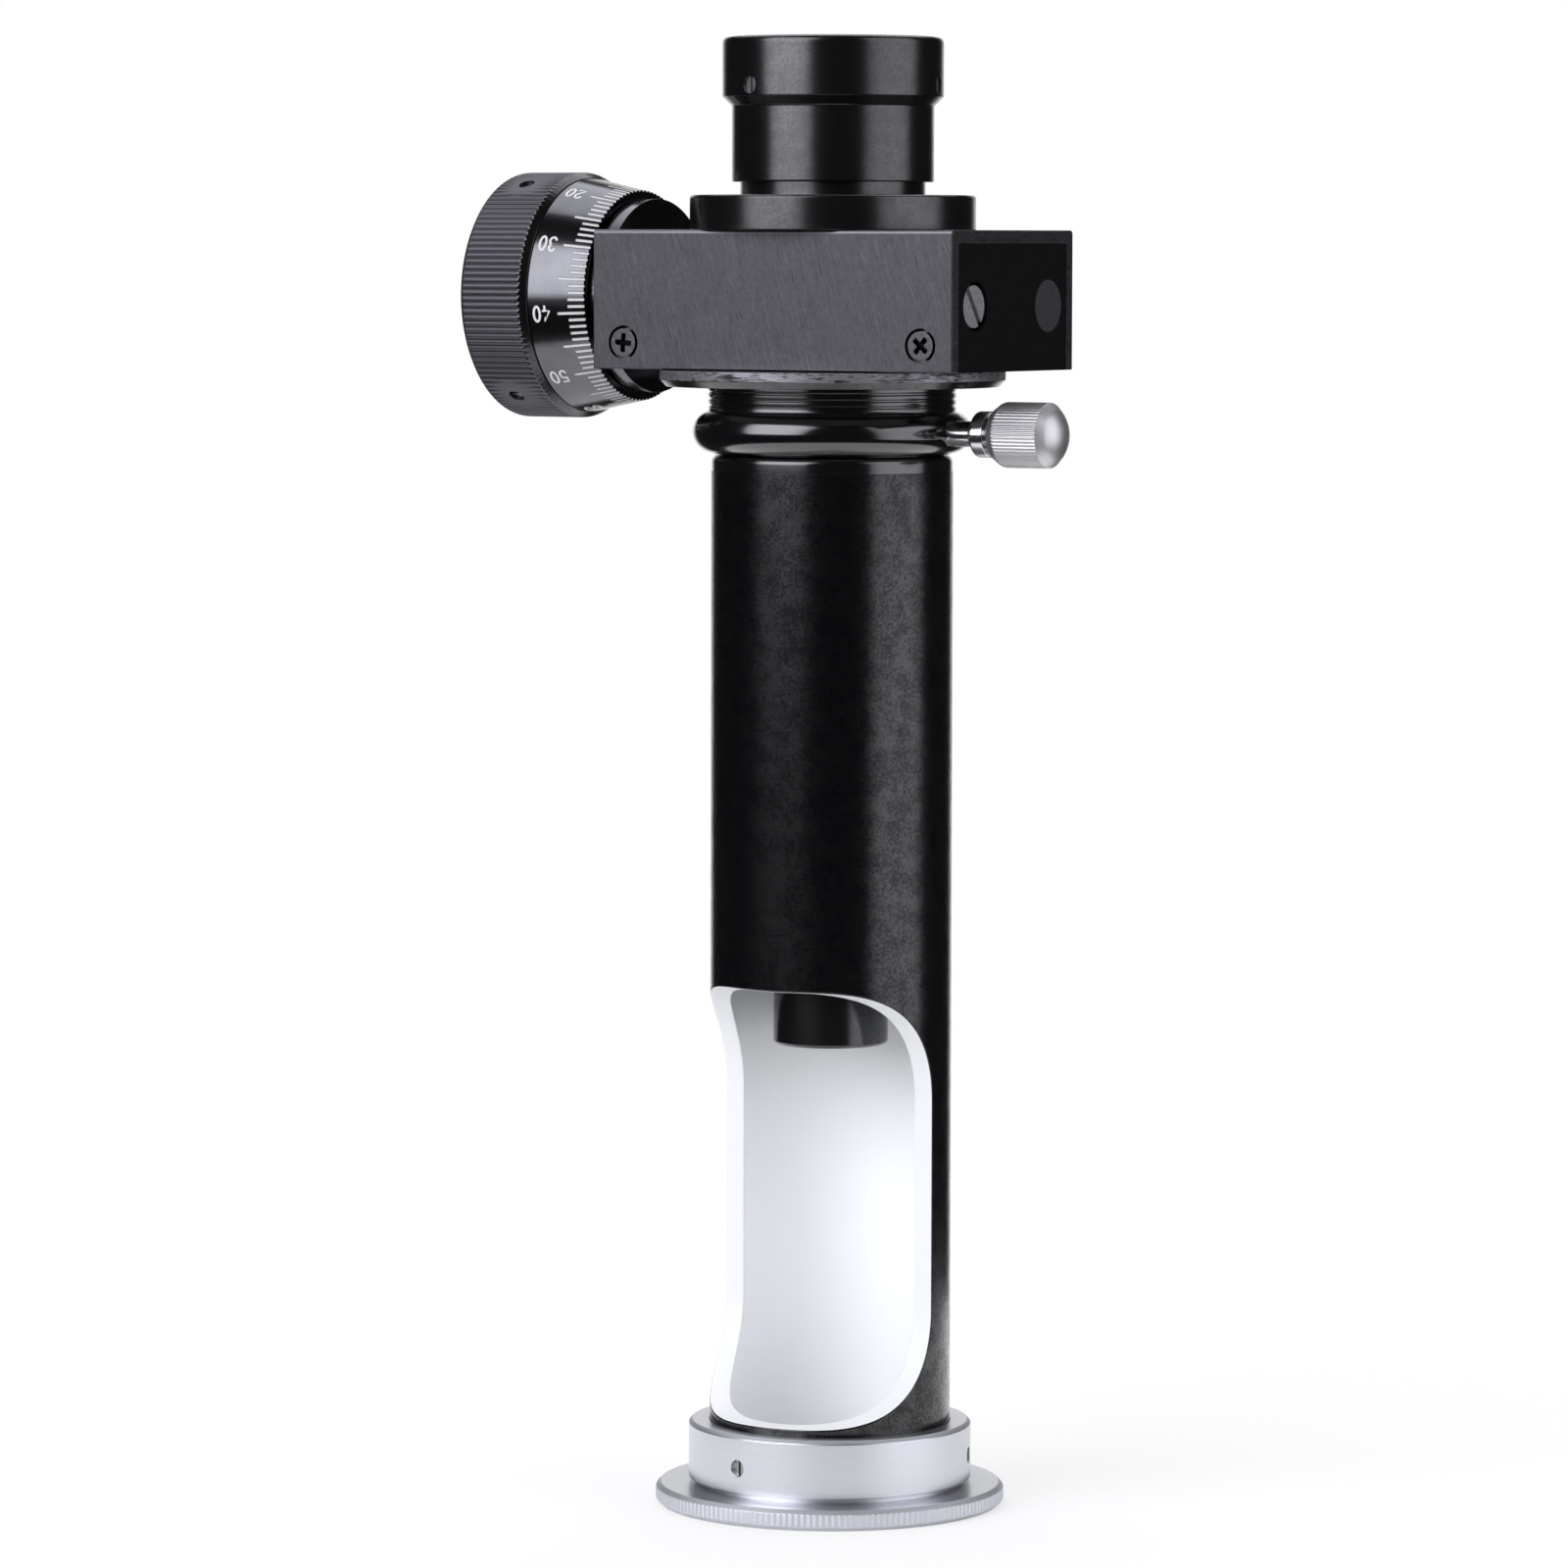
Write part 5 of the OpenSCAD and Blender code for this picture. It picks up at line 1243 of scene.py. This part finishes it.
class MICROSCOPE_OT_stage(bpy.types.Operator):
    """Stage: pale floor, two softboxes and a top light, pale surroundings and the camera"""
    bl_idname = "microscope.stage"
    bl_label = "Stage"
    bl_options = {"REGISTER", "UNDO"}

    aim_height, aim_left = 0.08394, 0.005494   # where the camera looks, in m above the floor and left of the axis
    roll = math.radians(0.122)                 # of the camera
    lit_point = Vector((0, 0, 0.085))          # where the lamps point, in m
    light_tint = (0.935, 0.945, 1.0)

    def execute(self, context):
        stage = context.scene.microscope_stage
        self.camera(context, stage)
        self.lamp(context, stage, "softbox_left", -50, 25.5, (1.11, 0.85), stage.softbox)
        self.lamp(context, stage, "softbox_right", 66, 12, (1.25, 1.3), stage.softbox * 0.4)
        self.lamp(context, stage, "light_above", 180, 62, (1.3, 0.9), stage.top_light)
        self.floor(context)
        self.surroundings(context, stage)
        context.scene.view_settings.view_transform = "Standard"
        return {"FINISHED"}

    def camera(self, context, stage):
        """Stands at the photo's place and looks at a point beside the axis; its roll is an eighth of a degree."""
        a, roll, up = stage.azimuth, self.roll, Vector((0, 0, 1))
        away, right = Vector((math.sin(a), -math.cos(a), 0)), Vector((math.cos(a), math.sin(a), 0))
        place = away * stage.distance + up * stage.height
        back = (place - up * self.aim_height + right * self.aim_left).normalized()
        side = up.cross(back).normalized()
        top = back.cross(side)
        side, top = side * math.cos(roll) + top * math.sin(roll), top * math.cos(roll) - side * math.sin(roll)
        data = bpy.data.cameras.new("camera")
        data.lens, data.sensor_width, data.clip_start, data.clip_end = stage.lens, 36, 0.01, 20
        camera = bpy.data.objects.new("camera", data)
        camera.matrix_world = Matrix((side, top, back)).transposed().to_4x4()
        camera.location = place
        context.scene.collection.objects.link(camera)
        context.scene.camera = camera

    def lamp(self, context, stage, name, turn, elevation, size, radiance):
        """A rectangular light 1 m from the middle of the object, turned from the camera's azimuth. Its power gives
        the radiance, power = radiance * pi * area, which falls off to its two sides as 1 - (2u - 1) ** 4."""
        a, e = stage.azimuth + math.radians(turn), math.radians(elevation)
        toward = Vector((math.sin(a) * math.cos(e), -math.cos(a) * math.cos(e), math.sin(e)))
        data = bpy.data.lights.new(name, "AREA")
        data.shape, (data.size, data.size_y) = "RECTANGLE", size
        data.energy = radiance * math.pi * size[0] * size[1]
        data.color = self.light_tint
        data.use_nodes = True
        s = Shader.on(data.node_tree)
        across = 2 * s.part(s.node("NewGeometry", output="Parametric"), "X") - 1
        glow = s.node("Emission", (), {"Color": WHITE, "Strength": 1 - across ** 4})
        s.node("OutputLight", (), {"Surface": glow})
        lamp = bpy.data.objects.new(name, data)
        lamp.location = toward + self.lit_point
        lamp.rotation_euler = toward.to_track_quat("Z", "Y").to_euler()
        context.scene.collection.objects.link(lamp)

    def floor(self, context):
        """A pale disc, z = 0: for the camera mostly its own white, so that the shadow stays soft and the far floor
        meets the white behind it."""
        t, radius, below = np.linspace(0, TAU, 97)[:-1], 0.16, 1e-5
        rim = np.stack([radius * np.cos(t), radius * np.sin(t), t * 0 - below], -1)
        mesh = bpy.data.meshes.new("floor")
        mesh.from_pydata(rim.tolist(), [], [list(range(len(t)))])
        floor = bpy.data.objects.new("floor", mesh)
        context.scene.collection.objects.link(floor)
        floor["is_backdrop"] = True
        s = Shader("floor")
        paper = s.node("BsdfDiffuse", (), {"Color": s.mix(s.noise(40), (0.80, 0.80, 0.80), (0.82, 0.82, 0.82))})
        white = s.node("Emission", (), {"Color": WHITE, "Strength": 1.0})
        far = s.vector("LENGTH", s.place, output="Value").step(0.04, 0.155)
        seen = s.node("LightPath", output="Is Camera Ray")
        share = seen * (0.55 + 0.45 * far)
        s.node("OutputMaterial", (), {"Surface": s.node("MixShader", (), {0: share, 1: paper, 2: white})})
        mesh.materials.append(s.material)

    def surroundings(self, context, stage):
        """White for the camera, and for reflections where they meet the backdrop; dim for the other reflections, and
        pale all round for the light that fills the shadows."""
        world = context.scene.world or bpy.data.worlds.new("surroundings")
        context.scene.world = world
        world.use_nodes = True
        s = Shader.on(world.node_tree)
        a, ray = stage.azimuth, s.node("TexCoord", output="Generated")
        front = s.vector("DOT_PRODUCT", ray, (math.sin(a), -math.cos(a), 0.0), output="Value")
        backdrop = 1 - front.step(-0.975, -0.88)
        seen, glossy, through = (s.node("LightPath", output=f"Is {kind} Ray")
                                 for kind in ("Camera", "Glossy", "Transmission"))
        mirrored = glossy.math("MAXIMUM", glossy, through)
        other = mirrored * (stage.dim + (1 - stage.dim) * backdrop) + (1 - mirrored) * stage.room
        strength = seen + (1 - seen) * other
        sky = s.node("Background", (), {"Color": WHITE, "Strength": strength})
        s.node("OutputWorld", (), {"Surface": sky})


class MICROSCOPE_PT_panel(bpy.types.Panel):
    """The sizes, the colours and a button for every group of pieces"""
    bl_label = "Measuring Microscope"
    bl_idname = "MICROSCOPE_PT_panel"
    bl_space_type = "VIEW_3D"
    bl_region_type = "UI"
    bl_category = "Microscope"

    def draw(self, context):
        scene = context.scene
        for group in (scene.microscope_sizes, scene.microscope_colours, scene.microscope_stage):
            box = self.layout.box()
            for name in group.__annotations__:
                box.prop(group, name)
        for operator in OPERATORS:
            self.layout.operator(operator.bl_idname)


OPERATORS = (
    MICROSCOPE_OT_foot, MICROSCOPE_OT_tube, MICROSCOPE_OT_collar, MICROSCOPE_OT_thumb_screw,
    MICROSCOPE_OT_draw_tube, MICROSCOPE_OT_cover, MICROSCOPE_OT_cover_screws, MICROSCOPE_OT_sleeve,
    MICROSCOPE_OT_thimble, MICROSCOPE_OT_knurled_ring, MICROSCOPE_OT_numbers, MICROSCOPE_OT_eyepiece,
    MICROSCOPE_OT_lenses, MICROSCOPE_OT_springs, MICROSCOPE_OT_finishes, MICROSCOPE_OT_stage,
)
CLASSES = (MicroscopeSizes, MicroscopeColours, StageSettings, *OPERATORS, MICROSCOPE_PT_panel)


def register():
    for cls in CLASSES:
        bpy.utils.register_class(cls)
    bpy.types.Scene.microscope_sizes = PointerProperty(type=MicroscopeSizes)
    bpy.types.Scene.microscope_colours = PointerProperty(type=MicroscopeColours)
    bpy.types.Scene.microscope_stage = PointerProperty(type=StageSettings)


def unregister():
    del bpy.types.Scene.microscope_stage
    del bpy.types.Scene.microscope_colours
    del bpy.types.Scene.microscope_sizes
    for cls in reversed(CLASSES):
        bpy.utils.unregister_class(cls)


def main():
    """Makes every piece."""
    register()
    for operator in OPERATORS:
        getattr(bpy.ops.microscope, operator.bl_idname.partition(".")[2])()
    boxes = {"cad": CAD_BOX, "visual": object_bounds()}
    {key: [list(corner) for corner in box] for key, box in boxes.items()}


if __name__ == "__main__":
    main()
